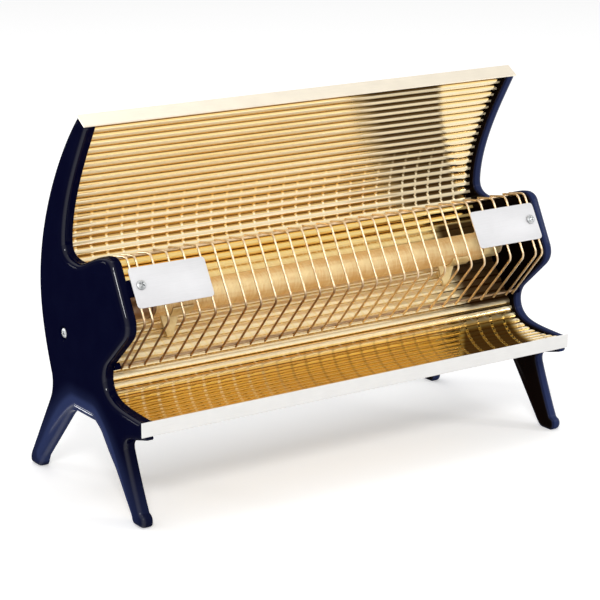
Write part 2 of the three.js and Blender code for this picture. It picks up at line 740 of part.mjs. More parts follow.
// The least gap between a wire's surface and itself, half a loop or more further on.
function leastSelfGap(line, radius, apart) {
  let least = Infinity;
  for (let i = 0; i < line.length; i += 1) {
    for (let k = i + apart; k < line.length; k += 1) {
      least = Math.min(least, line[i].distanceTo(line[k]) - 2 * radius);
    }
  }
  return least;
}

function elementWinding() {
  const line = windingLine();
  const gap = leastSelfGap(line, WINDING_WIRE_RADIUS, WINDING_STEPS / 2);
  console.log(`winding: ${WINDING_LOOPS} loops, least gap to itself ${gap.toFixed(2)} mm`);
  return wire(line, WINDING_WIRE_RADIUS, 5);
}

function elementCap() {
  const bore = CORE_RADIUS + CLEARANCE;
  const way = STUD_RADIUS + CLEARANCE;
  const floor = CAP_END - CAP_WALL;
  const profile = [
    [WOUND_HALF, bore],
    [WOUND_HALF, CAP_RADIUS],
    [CAP_END - 2, CAP_RADIUS],
    [CAP_END, CAP_RADIUS - 2],
    [CAP_END, way],
    [floor, way],
    [floor, bore],
  ];
  return turned(profile, 24).translate(0, ROD_Y, ROD_Z);
}

const terminalStud = () =>
  barX(CAP_END - 14, CAP_END + STUD_REACH, STUD_RADIUS, ROD_Y, ROD_Z, ROUND_SMALL);

function terminalNut() {
  const from = CAP_END + CLEARANCE;
  const bore = (STUD_RADIUS + CLEARANCE) / Math.cos(Math.PI / 6); // between flats of the bore
  const profile = [
    [from, bore],
    [from, NUT_RADIUS],
    [from + NUT_HEIGHT, NUT_RADIUS],
    [from + NUT_HEIGHT, bore],
  ];
  return turned(profile, 6).translate(0, ROD_Y, ROD_Z);
}

// Saddle under the rod, a leg back to the reflector and a foot that lies on its ribs.
function elementBracket(side) {
  const radius = ROD_RADIUS + CLEARANCE + BRACKET_SHEET / 2;
  const line = [];
  const fromAngle = 200;
  const toAngle = 312;
  for (let i = 0; i <= 10; i += 1) {
    const angle = THREE.MathUtils.degToRad(fromAngle + ((toAngle - fromAngle) * i) / 10);
    line.push(at(ROD_Y + radius * Math.cos(angle), ROD_Z + radius * Math.sin(angle)));
  }
  const sole = along(bracketSeat, bracketNormal, BRACKET_SHEET / 2);
  const slope = leftOf(bracketNormal);
  line.push(along(sole, slope, BRACKET_FOOT / 2));
  line.push(along(sole, slope, -BRACKET_FOOT / 2));
  const from = side * BRACKET_X - BRACKET_WIDTH / 2;
  const strap = stripPrism(line, BRACKET_SHEET, from, from + BRACKET_WIDTH);
  const rivetWay = RIVET_RADIUS + CLEARANCE;
  return carve(strap, [], [hole(rivetWay, bracketNormal, side * BRACKET_X, bracketSeat, 3)]);
}

function bracketRivet(side) {
  const top = BRACKET_SHEET + CLEARANCE;
  const under = -(RIB_HEIGHT + SHEET + 2 * CLEARANCE);
  const profile = [
    [under - 1.2, 0],
    [under - 1.2, RIVET_HEAD - 0.8],
    [under, RIVET_HEAD],
    [under, RIVET_RADIUS],
    [top, RIVET_RADIUS],
    [top, RIVET_HEAD],
    [top + 0.8, RIVET_HEAD - 0.7],
    [top + 1.4, 0],
  ];
  return turnedAlong(profile, bracketNormal, side * BRACKET_X, bracketSeat);
}

function backCover() {
  const line = coverLine();
  const last = line[line.length - 1];
  line.push(at(last.x - 4, COVER_FLOOR_Z), at(COVER_FLOOR_FRONT, COVER_FLOOR_Z));
  const sheet = stripPrism(line, COVER_SHEET, -SHEET_END, SHEET_END);
  const cut = [];
  for (const z of SLOT_ROW_HEIGHTS) {
    const { point } = coverAt(z);
    for (let i = 0; i < SLOT_COUNT; i += 1) {
      const x = (i - (SLOT_COUNT - 1) / 2) * SLOT_PITCH;
      cut.push(new THREE.BoxGeometry(SLOT_LENGTH, 16, SLOT_HEIGHT).translate(x, point.x, z));
    }
  }
  for (const side of [-1, 1]) {
    for (const z of COVER_SCREW_HEIGHTS) {
      const { point, out } = coverAt(z);
      cut.push(hole(SMALL_SCREW_RADIUS + CLEARANCE, out, side * coverScrewX(), point, 4));
    }
  }
  const inlet = coverAt(GROMMET_Z);
  cut.push(hole(GROMMET_RADIUS - 1.5, inlet.out, GROMMET_X, inlet.point, 4, ROUND));
  cut.push(hole(SMALL_SCREW_RADIUS + CLEARANCE, inlet.out, EARTH_X, inlet.point, 4));
  return carve(sheet, [], cut);
}

function cordGrommet() {
  const { point, out } = coverAt(GROMMET_Z);
  const half = COVER_SHEET / 2 + CLEARANCE;
  const waist = GROMMET_RADIUS - 1.5 - CLEARANCE;
  const profile = [
    [-half - 2, GROMMET_BORE],
    [-half - 2, GROMMET_RADIUS],
    [-half, GROMMET_RADIUS],
    [-half, waist],
    [half, waist],
    [half, GROMMET_RADIUS],
    [half + 2.5, GROMMET_RADIUS - 1],
    [half + 2.5, GROMMET_BORE],
  ];
  return turnedAlong(profile, out, GROMMET_X, point, ROUND);
}

const blockBase = () => COVER_FLOOR_Z + COVER_SHEET / 2 + CLEARANCE;

function terminalBlock() {
  const block = new THREE.BoxGeometry(BLOCK_LENGTH, BLOCK_DEPTH, BLOCK_HEIGHT);
  block.translate(BLOCK_X, BLOCK_Y, blockBase() + BLOCK_HEIGHT / 2);
  const wells = [-1, 1].map((side) => {
    const well = turnedAlong(
      [[-8, 0], [-8, 3.3], [8, 3.3], [8, 0]],
      at(0, 1),
      blockScrewX(side),
      at(BLOCK_Y, blockBase() + BLOCK_HEIGHT + 1),
    );
    return well;
  });
  return carve(block, [], wells);
}

const blockScrewX = (side) => BLOCK_X + (side * BLOCK_LENGTH) / 4;

function blockTerminal(side) {
  const seat = blockBase() + BLOCK_HEIGHT + 1 - 8 + CLEARANCE;
  const profile = [[0, 0], [0, 3], [6, 3], [7, 2.2], [7, 0]];
  return turnedAlong(profile, at(0, 1), blockScrewX(side), at(BLOCK_Y, seat));
}

function earthScrew() {
  const { point, out } = coverAt(GROMMET_Z);
  const seat = along(point, out, COVER_SHEET / 2 + CLEARANCE);
  const profile = screwProfile(SMALL_SCREW_RADIUS, SMALL_SCREW_HEAD, 1.8, 7);
  return turnedAlong(profile, out, EARTH_X, seat);
}

// A lead runs from its terminal up behind the bowl, through the sheet and on to the rod's nut.
function lead(side) {
  const bareEnd = CAP_END + CLEARANCE + NUT_HEIGHT / 2;
  const behind = reflectorLine.getPointAt(leadU).x + 9;
  const start = blockScrewX(side);
  const terminalTop = blockBase() + BLOCK_HEIGHT + 1 - 8 + CLEARANCE + 7 + CLEARANCE;
  const low = terminalTop + 6;
  const reach = side * LEAD_HOLE_X;
  const corners = [
    inSpace(start, at(BLOCK_Y, terminalTop)),
    inSpace(start, at(BLOCK_Y, low)),
    inSpace(reach, at(BLOCK_Y + 3, low + 4)),
    inSpace(reach, at(behind, ROD_Z)),
    inSpace(reach, at(ROD_Y + NUT_RADIUS + 12, ROD_Z)),
    inSpace(side * bareEnd, at(ROD_Y + NUT_RADIUS + CLEARANCE, ROD_Z)),
  ];
  return wire(roundedLine(corners, 4, 4), LEAD_RADIUS, 6);
}

// ---------------------------------------------------------------- assembly
const heater = new THREE.Group();

function place(name, geometry, material) {
  const mesh = new THREE.Mesh(geometry, material);
  mesh.name = name;
  heater.add(mesh);
}

function placePair(name, geometry, material) {
  place(`${name}_right`, geometry, material);
  place(`${name}_left`, mirrored(geometry), material);
}

placePair('cheek', cheek(), NAVY);
place('reflector', reflector(), GOLD);
place('back_cover', backCover(), NAVY);
place('guard', guard(), CHROME);
placePair('guard_plate', guardPlate(1), BRUSHED);
placePair('plate_screw', plateScrew(1), STEEL);
place('tie_rod', tieRod(), STEEL);
placePair('cheek_screw', cheekScrew(), STEEL);
place('element_core', elementCore(), CERAMIC);
place('element_winding', elementWinding(), RESISTANCE);
placePair('element_cap', elementCap(), STEEL);
placePair('element_bracket', elementBracket(1), STEEL);
placePair('bracket_rivet', bracketRivet(1), STEEL);
placePair('terminal_stud', terminalStud(), BRASS);
placePair('terminal_nut', terminalNut(), BRASS);
COVER_SCREW_HEIGHTS.forEach((z, row) => {
  placePair(`cover_screw_${row + 1}`, coverScrew(1, z), STEEL);
});
place('cord_grommet', cordGrommet(), RUBBER);
place('terminal_block', terminalBlock(), PORCELAIN);
place('block_terminal_left', blockTerminal(-1), BRASS);
place('block_terminal_right', blockTerminal(1), BRASS);
place('earth_screw', earthScrew(), BRASS);
place('lead_left', lead(-1), LEAD_SLEEVE);
place('lead_right', lead(1), LEAD_SLEEVE);

export default heater;
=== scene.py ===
"""Electric bar heater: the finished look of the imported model, in metres, +Z up, front towards -Y.

Sizes are written in millimetres in the classes' fields and become metres where a mesh is made.
A section line is an array of (y, z) points; everything long is such a section carried along X.
"""

from __future__ import annotations

import logging
import math
from dataclasses import dataclass, field
from enum import Enum
from functools import reduce
from typing import Any, Callable, Mapping, Sequence

import bpy
import numpy as np
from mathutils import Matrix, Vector
from mathutils.geometry import delaunay_2d_cdt

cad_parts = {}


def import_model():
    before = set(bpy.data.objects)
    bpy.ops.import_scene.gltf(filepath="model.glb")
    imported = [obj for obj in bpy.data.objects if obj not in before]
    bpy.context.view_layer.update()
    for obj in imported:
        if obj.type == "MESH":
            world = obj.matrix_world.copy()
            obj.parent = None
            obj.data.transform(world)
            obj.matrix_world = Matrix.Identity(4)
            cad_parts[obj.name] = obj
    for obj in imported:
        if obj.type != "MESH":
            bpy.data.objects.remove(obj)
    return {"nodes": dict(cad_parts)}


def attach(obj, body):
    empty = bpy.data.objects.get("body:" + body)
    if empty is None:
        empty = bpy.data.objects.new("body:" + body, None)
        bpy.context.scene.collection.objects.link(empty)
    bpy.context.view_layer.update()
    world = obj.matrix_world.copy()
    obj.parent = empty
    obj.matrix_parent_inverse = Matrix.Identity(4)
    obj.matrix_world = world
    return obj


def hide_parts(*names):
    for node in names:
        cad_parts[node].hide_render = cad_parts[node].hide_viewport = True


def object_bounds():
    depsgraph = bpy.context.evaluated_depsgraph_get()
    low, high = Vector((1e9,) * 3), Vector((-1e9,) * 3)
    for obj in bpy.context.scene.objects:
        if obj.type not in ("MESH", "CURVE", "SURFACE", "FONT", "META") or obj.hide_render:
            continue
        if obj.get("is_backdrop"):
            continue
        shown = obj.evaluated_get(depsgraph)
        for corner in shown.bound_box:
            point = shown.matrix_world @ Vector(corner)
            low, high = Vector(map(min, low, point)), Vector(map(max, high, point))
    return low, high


MM = 0.001
CLEARANCE = 0.3
ROOT_BODY = "root"
X_AXIS = np.array([1.0, 0.0, 0.0])

log = logging.getLogger("heater")
Array = np.ndarray
Spot = Sequence[float] | np.ndarray
Colour = tuple[float, float, float]


# ---------------------------------------------------------------- lines in the (y, z) plane
def point(y: float, z: float) -> Array:
    """A point of a section."""
    return np.array([y, z], float)


def unit(vector: Array) -> Array:
    """Vectors along the last axis, scaled to length one."""
    return vector / np.maximum(np.linalg.norm(vector, axis=-1, keepdims=True), 1e-12)


def left_of(direction: Array) -> Array:
    """Directions turned a quarter turn to the left: (a, b) becomes (-b, a)."""
    return unit(np.stack([-direction[..., 1], direction[..., 0]], axis=-1))


def around(count: int) -> Array:
    """Angles at equal steps round a full turn."""
    return np.linspace(0, 2 * math.pi, count, endpoint=False)


def on_circle(angle: Array) -> Array:
    """Points of the unit circle at given angles."""
    return np.stack([np.cos(angle), np.sin(angle)], axis=-1)


def curve(*points: Spot, steps: int = 0) -> Array:
    """A curve from the first point to the last, pulled towards the one or two handles between.

    Neighbouring points are mixed by 1 - t and t, and their mixtures again, until one is left.

    Args:
        *points: start, handles and end.
        steps: number of stretches; 0 stands for 24 with one handle and 48 with two.

    Returns:
        The points of the curve.
    """
    t = np.linspace(0, 1, (steps or 24 * (len(points) - 2)) + 1)[:, None]
    row = [np.asarray(spot, float) for spot in points]
    while len(row) > 1:
        row = [start * (1 - t) + end * t for start, end in zip(row, row[1:])]
    return row[0]


def joined(*lines: Array) -> Array:
    """Lines laid end to end, with points that repeat their neighbour left out."""
    whole = np.concatenate([np.atleast_2d(line) for line in lines])
    return whole[np.linalg.norm(np.diff(whole, axis=0, prepend=np.inf), axis=1) > 1e-6]


def lengths_along(line: Array) -> Array:
    """The length of a line from its start to each of its points."""
    return np.concatenate([[0.0], np.cumsum(np.linalg.norm(np.diff(line, axis=0), axis=1))])


def evenly(line: Array, count: int, closed: bool = False) -> Array:
    """The same line with points at equal lengths.

    Args:
        line: the points to follow.
        count: number of points given back.
        closed: whether the line returns to its first point.

    Returns:
        An array of count points.
    """
    if closed:
        line = np.concatenate([line, line[:1]])
    length = lengths_along(line)
    at = np.linspace(0, length[-1], count, endpoint=not closed)
    return columns_at(at, length, line)


def columns_at(at: Array, known: Array, rows: Array) -> Array:
    """Rows read off between known places, column by column."""
    return np.stack([np.interp(at, known, column) for column in rows.T], axis=-1)


def directions(line: Array) -> Array:
    """Unit directions of a line at its points, from the points on either side."""
    return unit(np.gradient(line, axis=0))


def beside(line: Array, distance: float | Array) -> Array:
    """A line moved to the left of its direction by a distance, which may differ by point."""
    return line + left_of(directions(line)) * np.reshape(distance, (-1, 1))


def softened(corners: Sequence[Spot], reach: float, steps: int = 8) -> Array:
    """A line through corners whose inner corners are rounded, each with one curve.

    Args:
        corners: the corner points.
        reach: how far from a corner its curve starts.
        steps: stretches in each curve.

    Returns:
        The rounded line.
    """
    spots = [np.asarray(corner, float) for corner in corners]
    pieces = [spots[0]]
    for before, corner, after in zip(spots, spots[1:], spots[2:]):
        enter, leave = (corner + unit(other - corner) * reach for other in (before, after))
        pieces.append(curve(enter, corner, leave, steps=steps))
    return joined(*pieces, spots[-1])


def smoothstep(low: float, high: float, value: Array) -> Array:
    """0 below low, 1 above high, and an S-shaped rise of 3t squared - 2t cubed between them."""
    t = np.clip((value - low) / (high - low), 0, 1)
    return t * t * (3 - 2 * t)


def bell(value: Array, middle: float, width: float) -> Array:
    """1 at the middle, falling off as e to minus the squared distance in widths."""
    return np.exp(-(((value - middle) / width) ** 2))


def edge_drop(distance: Array, radius: float) -> Array:
    """How far a quarter circle lies below its face, by the distance from the edge."""
    near = np.clip(1 - distance / radius, 0, 1)
    return radius * (1 - np.sqrt(1 - near**2))


def distance_to_loop(spots: Array, loop: Array, chunk: int = 2000) -> Array:
    """The least distance from each spot to the straight stretches of a closed loop.

    Args:
        spots: the points to measure.
        loop: the closed line.
        chunk: how many spots are measured at once.

    Returns:
        One distance for each spot.
    """
    stretch = np.roll(loop, -1, axis=0) - loop
    squared = np.maximum((stretch**2).sum(axis=1), 1e-12)
    found = []
    for first in range(0, len(spots), chunk):
        away = spots[first : first + chunk, None] - loop
        share = np.clip((away * stretch).sum(axis=2) / squared, 0, 1)
        found.append(np.linalg.norm(away - share[..., None] * stretch, axis=2).min(axis=1))
    return np.concatenate(found)


def inside_loop(spots: Array, loop: Array, chunk: int = 2000) -> Array:
    """Whether spots lie inside a closed loop: a ray towards +y crosses it an odd number of times.

    Args:
        spots: the points to test.
        loop: the closed line.
        chunk: how many spots are tested at once.

    Returns:
        True or False for each spot.
    """
    following = np.roll(loop, -1, axis=0)
    rise = following[:, 1] - loop[:, 1]
    rise = np.where(np.abs(rise) < 1e-12, 1e-12, rise)
    found = []
    for first in range(0, len(spots), chunk):
        y, z = spots[first : first + chunk, :1], spots[first : first + chunk, 1:]
        spans = (loop[:, 1] > z) != (following[:, 1] > z)
        cross = loop[:, 0] + (z - loop[:, 1]) / rise * (following[:, 0] - loop[:, 0])
        found.append((spans & (y < cross)).sum(axis=1) % 2 == 1)
    return np.concatenate(found)


def lattice_of(first: Array, second: Array) -> Array:
    """Every pair of a first and a second value, as rows."""
    return np.stack(np.meshgrid(first, second, indexing="ij"), axis=-1).reshape(-1, 2)


def triangulated(
    loops: Sequence[Array], loose: Array, within: bool
) -> tuple[Array, Array, list[list[int]]]:
    """A flat mesh whose edges follow closed loops and whose other points are loose.

    Args:
        loops: the closed lines.
        loose: points of their own.
        within: whether only the triangles inside a loop are wanted.

    Returns:
        The points, the triangles, and for each point the numbers of those it came from.
    """
    starts = np.cumsum([0] + [len(loop) for loop in loops])
    faces = [list(range(first, last)) for first, last in zip(starts, starts[1:])]
    spots = [Vector(spot) for spot in np.concatenate([*loops, loose])]
    made = delaunay_2d_cdt(spots, [], faces, int(within), 1e-5)
    return np.array([spot[:] for spot in made[0]]), np.array([face[:] for face in made[2]]), made[3]


def in_space(x: float | Array, line: Array) -> Array:
    """Section points put into space at a given x."""
    spread = np.broadcast_to(np.asarray(x, float), line.shape[:-1])
    return np.concatenate([spread[..., None], line], axis=-1)


def space_direction(direction: Array) -> Array:
    """A section direction as a direction in space."""
    return np.array([0.0, direction[0], direction[1]])


# ---------------------------------------------------------------- meshes
@dataclass
class Shell:
    """Vertices and faces in millimetres, before they become a mesh."""

    vertices: Array
    faces: list[Sequence[int]]
    marks: dict[str, Array] = field(default_factory=dict)

    def plus(self, other: "Shell") -> "Shell":
        """Both shells in one, their marks side by side.

        Args:
            other: the shell that is added.

        Returns:
            The new shell.
        """
        shift = len(self.vertices)
        faces = self.faces + [[index + shift for index in face] for face in other.faces]
        marks = {}
        for name in {*self.marks, *other.marks}:
            mine = self.marks.get(name, np.zeros(shift))
            theirs = other.marks.get(name, np.zeros(len(other.vertices)))
            marks[name] = np.concatenate([mine, theirs])
        return Shell(np.concatenate([self.vertices, other.vertices]), faces, marks)

    def mirrored(self) -> "Shell":
        """The shell's mirror image across the plane x = 0, with its faces turned back out."""
        flipped = [list(reversed(face)) for face in self.faces]
        return Shell(self.vertices * np.array([-1, 1, 1]), flipped, dict(self.marks))

    def marked(self, name: str, values: float | Array) -> "Shell":
        """The same shell with one more mark on its points."""
        spread = np.broadcast_to(values, len(self.vertices))
        return Shell(self.vertices, self.faces, {**self.marks, name: spread})

    def mesh(self, name: str, smooth_angle: float) -> bpy.types.Mesh:
        """A Blender mesh in metres, shaded smooth except across edges sharper than an angle.

        Args:
            name: the mesh's name.
            smooth_angle: in degrees.

        Returns:
            The new mesh.
        """
        mesh = bpy.data.meshes.new(name)
        faces = [tuple(int(index) for index in face) for face in self.faces]
        mesh.from_pydata((self.vertices * MM).tolist(), [], faces)
        for mark, values in self.marks.items():
            layer = mesh.attributes.new(mark, "FLOAT", "POINT")
            layer.data.foreach_set("value", np.asarray(values, np.float32))
        mesh.shade_smooth()
        mesh.set_sharp_from_angle(angle=math.radians(smooth_angle))
        mesh.validate()
        mesh.update()
        return mesh


def grid_faces(rows: int, columns: int, closed: bool) -> Array:
    """Quads of a grid of vertices.

    Args:
        rows: number of rows of vertices.
        columns: vertices in a row.
        closed: whether each row closes on itself.

    Returns:
        The faces, their corners row by row.
    """
    last = columns if closed else columns - 1
    row, column = np.meshgrid(np.arange(rows - 1), np.arange(last), indexing="ij")
    following = (column + 1) % columns
    corners = [row * columns + column, row * columns + following]
    corners += [(row + 1) * columns + following, (row + 1) * columns + column]
    return np.stack(corners, axis=-1).reshape(-1, 4)


def tube(rings: Array, marks: dict[str, Array] | None = None) -> Shell:
    """Rings of points joined into a closed tube with a flat face at each end.

    Args:
        rings: array of (ring, point, 3); the rings run anticlockwise seen from the far end.
        marks: values for each point, by name.

    Returns:
        The closed shell.
    """
    count, sides, _ = rings.shape
    faces = grid_faces(count, sides, True).tolist()
    ends = [list(range(sides - 1, -1, -1)), list(range((count - 1) * sides, count * sides))]
    return Shell(rings.reshape(-1, 3), faces + ends, marks or {})


def along_path(path: Array, radius: float, sides: int, helper: Array) -> Shell:
    """A round wire: circles of a radius stand square on a path, turned by a helper direction.

    Args:
        path: points in space.
        radius: of the wire.
        sides: points round the wire.
        helper: a direction that the path never takes.

    Returns:
        The closed shell.
    """
    tangent = directions(path)
    across = unit(np.cross(tangent, helper))
    upward = np.cross(across, tangent)
    angle = around(sides)[None, :, None]
    ring = across[:, None] * np.cos(angle) - upward[:, None] * np.sin(angle)
    return tube((path[:, None] + ring * radius)[:, ::-1])


def spun(profile: Array, sides: int) -> Array:
    """Rows of a turned surface on the X axis, one row for each (x, radius) of a line."""
    rim = profile[:, None, 1:] * on_circle(around(sides))
    return in_space(profile[:, :1], rim)


def turned(profile: Array, sides: int = 48) -> Shell:
    """A turned solid on the X axis from a line of (x, radius) that starts and ends on the axis.

    Args:
        profile: the points, with x rising where the line is outermost.
        sides: points round the solid.

    Returns:
        The closed shell, whose two poles are single points.
    """
    rows = spun(profile[1:-1], sides)
    poles = np.array([[profile[0, 0], 0, 0], [profile[-1, 0], 0, 0]])
    start, last = len(rows) * sides, (len(rows) - 1) * sides
    ring, following = np.arange(sides), (np.arange(sides) + 1) % sides
    faces = grid_faces(len(rows), sides, True)[:, ::-1].tolist()
    faces += np.stack([np.full(sides, start), following, ring], axis=1).tolist()
    faces += np.stack([np.full(sides, start + 1), last + ring, last + following], axis=1).tolist()
    return Shell(np.concatenate([rows.reshape(-1, 3), poles]), faces)


def ringed(corners: Sequence[Spot], sides: int = 48) -> Shell:
    """A turned ring on the X axis from a closed line of (x, radius) that keeps off the axis.

    Args:
        corners: the line's points.
        sides: points round the ring.

    Returns:
        The closed shell.
    """
    rows = spun(np.array(corners, float), sides).swapaxes(0, 1)
    faces = grid_faces(sides + 1, len(corners), True) % (sides * len(corners))
    return Shell(rows.reshape(-1, 3), faces.tolist())


def laid(shell: Shell, axis: Array, place: Array) -> Shell:
    """A shell made along X, turned so that its +X lies along an axis, and moved to a place."""
    turn = Vector(X_AXIS).rotation_difference(Vector(axis)).to_matrix()
    return Shell(shell.vertices @ np.array(turn).T + place, shell.faces, shell.marks)


def drawn_out(section: Array, x_values: Array, marks: dict[str, Array] | None = None) -> Shell:
    """A closed section carried along X through given places.

    Args:
        section: (y, z) points, anticlockwise seen from +X.
        x_values: places along X, rising.
        marks: values for each section point, by name.

    Returns:
        The closed shell.
    """
    rings = np.stack([in_space(x, section) for x in x_values])
    spread = {name: np.tile(values, len(x_values)) for name, values in (marks or {}).items()}
    return tube(rings, spread)


def band(line: Array, thickness: float) -> Array:
    """The closed outline of a strip whose middle follows a line, with round ends.

    Args:
        line: the strip's middle.
        thickness: of the strip.

    Returns:
        The outline, anticlockwise.
    """
    half = thickness / 2
    start, end = directions(line)[0], directions(line)[-1]
    angle = np.linspace(0, math.pi, 6)[1:-1, None]
    tip = line[-1] + half * (np.cos(angle) * -left_of(end) + np.sin(angle) * end)
    tail = line[0] + half * (np.cos(angle) * left_of(start) - np.sin(angle) * start)
    return joined(beside(line, -half), tip, beside(line, half)[::-1], tail)


def block(centre: Array, axes: Array, size: Array, rounding: float = 1.2) -> Shell:
    """A box with rounded edges: points of a cube pulled to the rounded surface.

    The surface is a smaller box grown by the rounding: each point of a fine cube is clipped to
    the small box and then pushed out from it by the rounding.

    Args:
        centre: the middle.
        axes: three unit directions, as rows.
        size: the three lengths.
        rounding: radius of the edges.

    Returns:
        The six faces with their roundings, one beside the other.
    """
    flat_share = 0.74
    steps = np.array([-1, -0.97, -0.88, -0.75, 0.75, 0.88, 0.97, 1])
    u, v = np.meshgrid(steps, steps, indexing="ij")
    faces = grid_faces(*u.shape, False).tolist()
    sides = []
    for axis in range(3):
        for side in (-1, 1):
            cube = np.empty((*u.shape, 3))
            cube[..., axis] = side
            cube[..., (axis + 1) % 3] = u * side
            cube[..., (axis + 2) % 3] = v
            beyond = np.maximum(np.abs(cube) - flat_share, 0) / (1 - flat_share) * np.sign(cube)
            corner = np.sign(cube) * np.minimum(np.abs(cube) / flat_share, 1)
            local = corner * (size / 2 - rounding) + unit(beyond + 1e-9) * rounding
            sides.append(Shell((local @ axes + centre).reshape(-1, 3), faces))
    return reduce(Shell.plus, sides)


def crosshead(radius: float, height: float, shank: float, length: float) -> Shell:
    """A domed screw with a cross recess, its seat at x = 0 and its head towards +X.

    The head's height falls from the middle as a flattened dome; the recess lowers it where the
    distance from either of two crossing lines is small and the radius is below 0.62 of the head's.

    Args:
        radius: of the head.
        height: of the head.
        shank: radius of the shank.
        length: of the shank.

    Returns:
        The closed shell.
    """
    share = np.linspace(1, 0.02, 26)
    dome = np.sqrt(1 - share**2.6)
    head = np.stack([height * (0.38 + 0.62 * dome), share * radius], axis=1)
    foot = np.array([[-length, 0], [-length, shank * 0.7], [0.6 - length, shank], [0, shank]])
    shell = turned(np.concatenate([foot, [[0, radius]], head, [[height, 0]]]), 96)
    spots = shell.vertices
    reach = np.linalg.norm(spots[:, 1:], axis=1) / radius
    near_line = np.abs(spots[:, 1:]).min(axis=1) / radius
    slot = (1 - smoothstep(0.10, 0.2, near_line)) * (1 - smoothstep(0.52, 0.66, reach))
    spots[:, 0] -= np.where(spots[:, 0] > height * 0.4, slot * height * 0.55, 0)
    return shell


# ---------------------------------------------------------------- shader recipes
def math_method(operation: str, swapped: bool = False) -> Callable[[Signal, Signal | float], Signal]:
    """A method of Signal that adds a Math node.

    Args:
        operation: what the node does.
        swapped: whether the signal is the node's second value.

    Returns:
        The method.
    """

    def method(self: Signal, other: Signal | float) -> Signal:
        """The node's result."""
        values = (other, self) if swapped else (self, other)
        return self.recipe.node("ShaderNodeMath", {"operation": operation}, dict(enumerate(values)))

    return method


class Signal:
    """A socket of a recipe; operators on it add Math nodes."""

    __add__, __radd__ = math_method("ADD"), math_method("ADD", swapped=True)
    __sub__, __rsub__ = math_method("SUBTRACT"), math_method("SUBTRACT", swapped=True)
    __mul__, __rmul__ = math_method("MULTIPLY"), math_method("MULTIPLY", swapped=True)
    at_least = math_method("MAXIMUM")

    def __init__(self, recipe: Recipe, socket: bpy.types.NodeSocket) -> None:
        """Keeps the socket and the recipe that it belongs to."""
        self.recipe = recipe
        self.socket = socket

    def cosine(self) -> Signal:
        """The cosine, 1 where the signal is a whole number of turns."""
        return self.recipe.node("ShaderNodeMath", {"operation": "COSINE"}, {0: self})

    def between(self, low: float, high: float) -> Signal:
        """0 below low, 1 above high, smooth between them."""
        settings = {"interpolation_type": "SMOOTHSTEP"}
        return self.recipe.node("ShaderNodeMapRange", settings, {0: self, 1: low, 2: high})


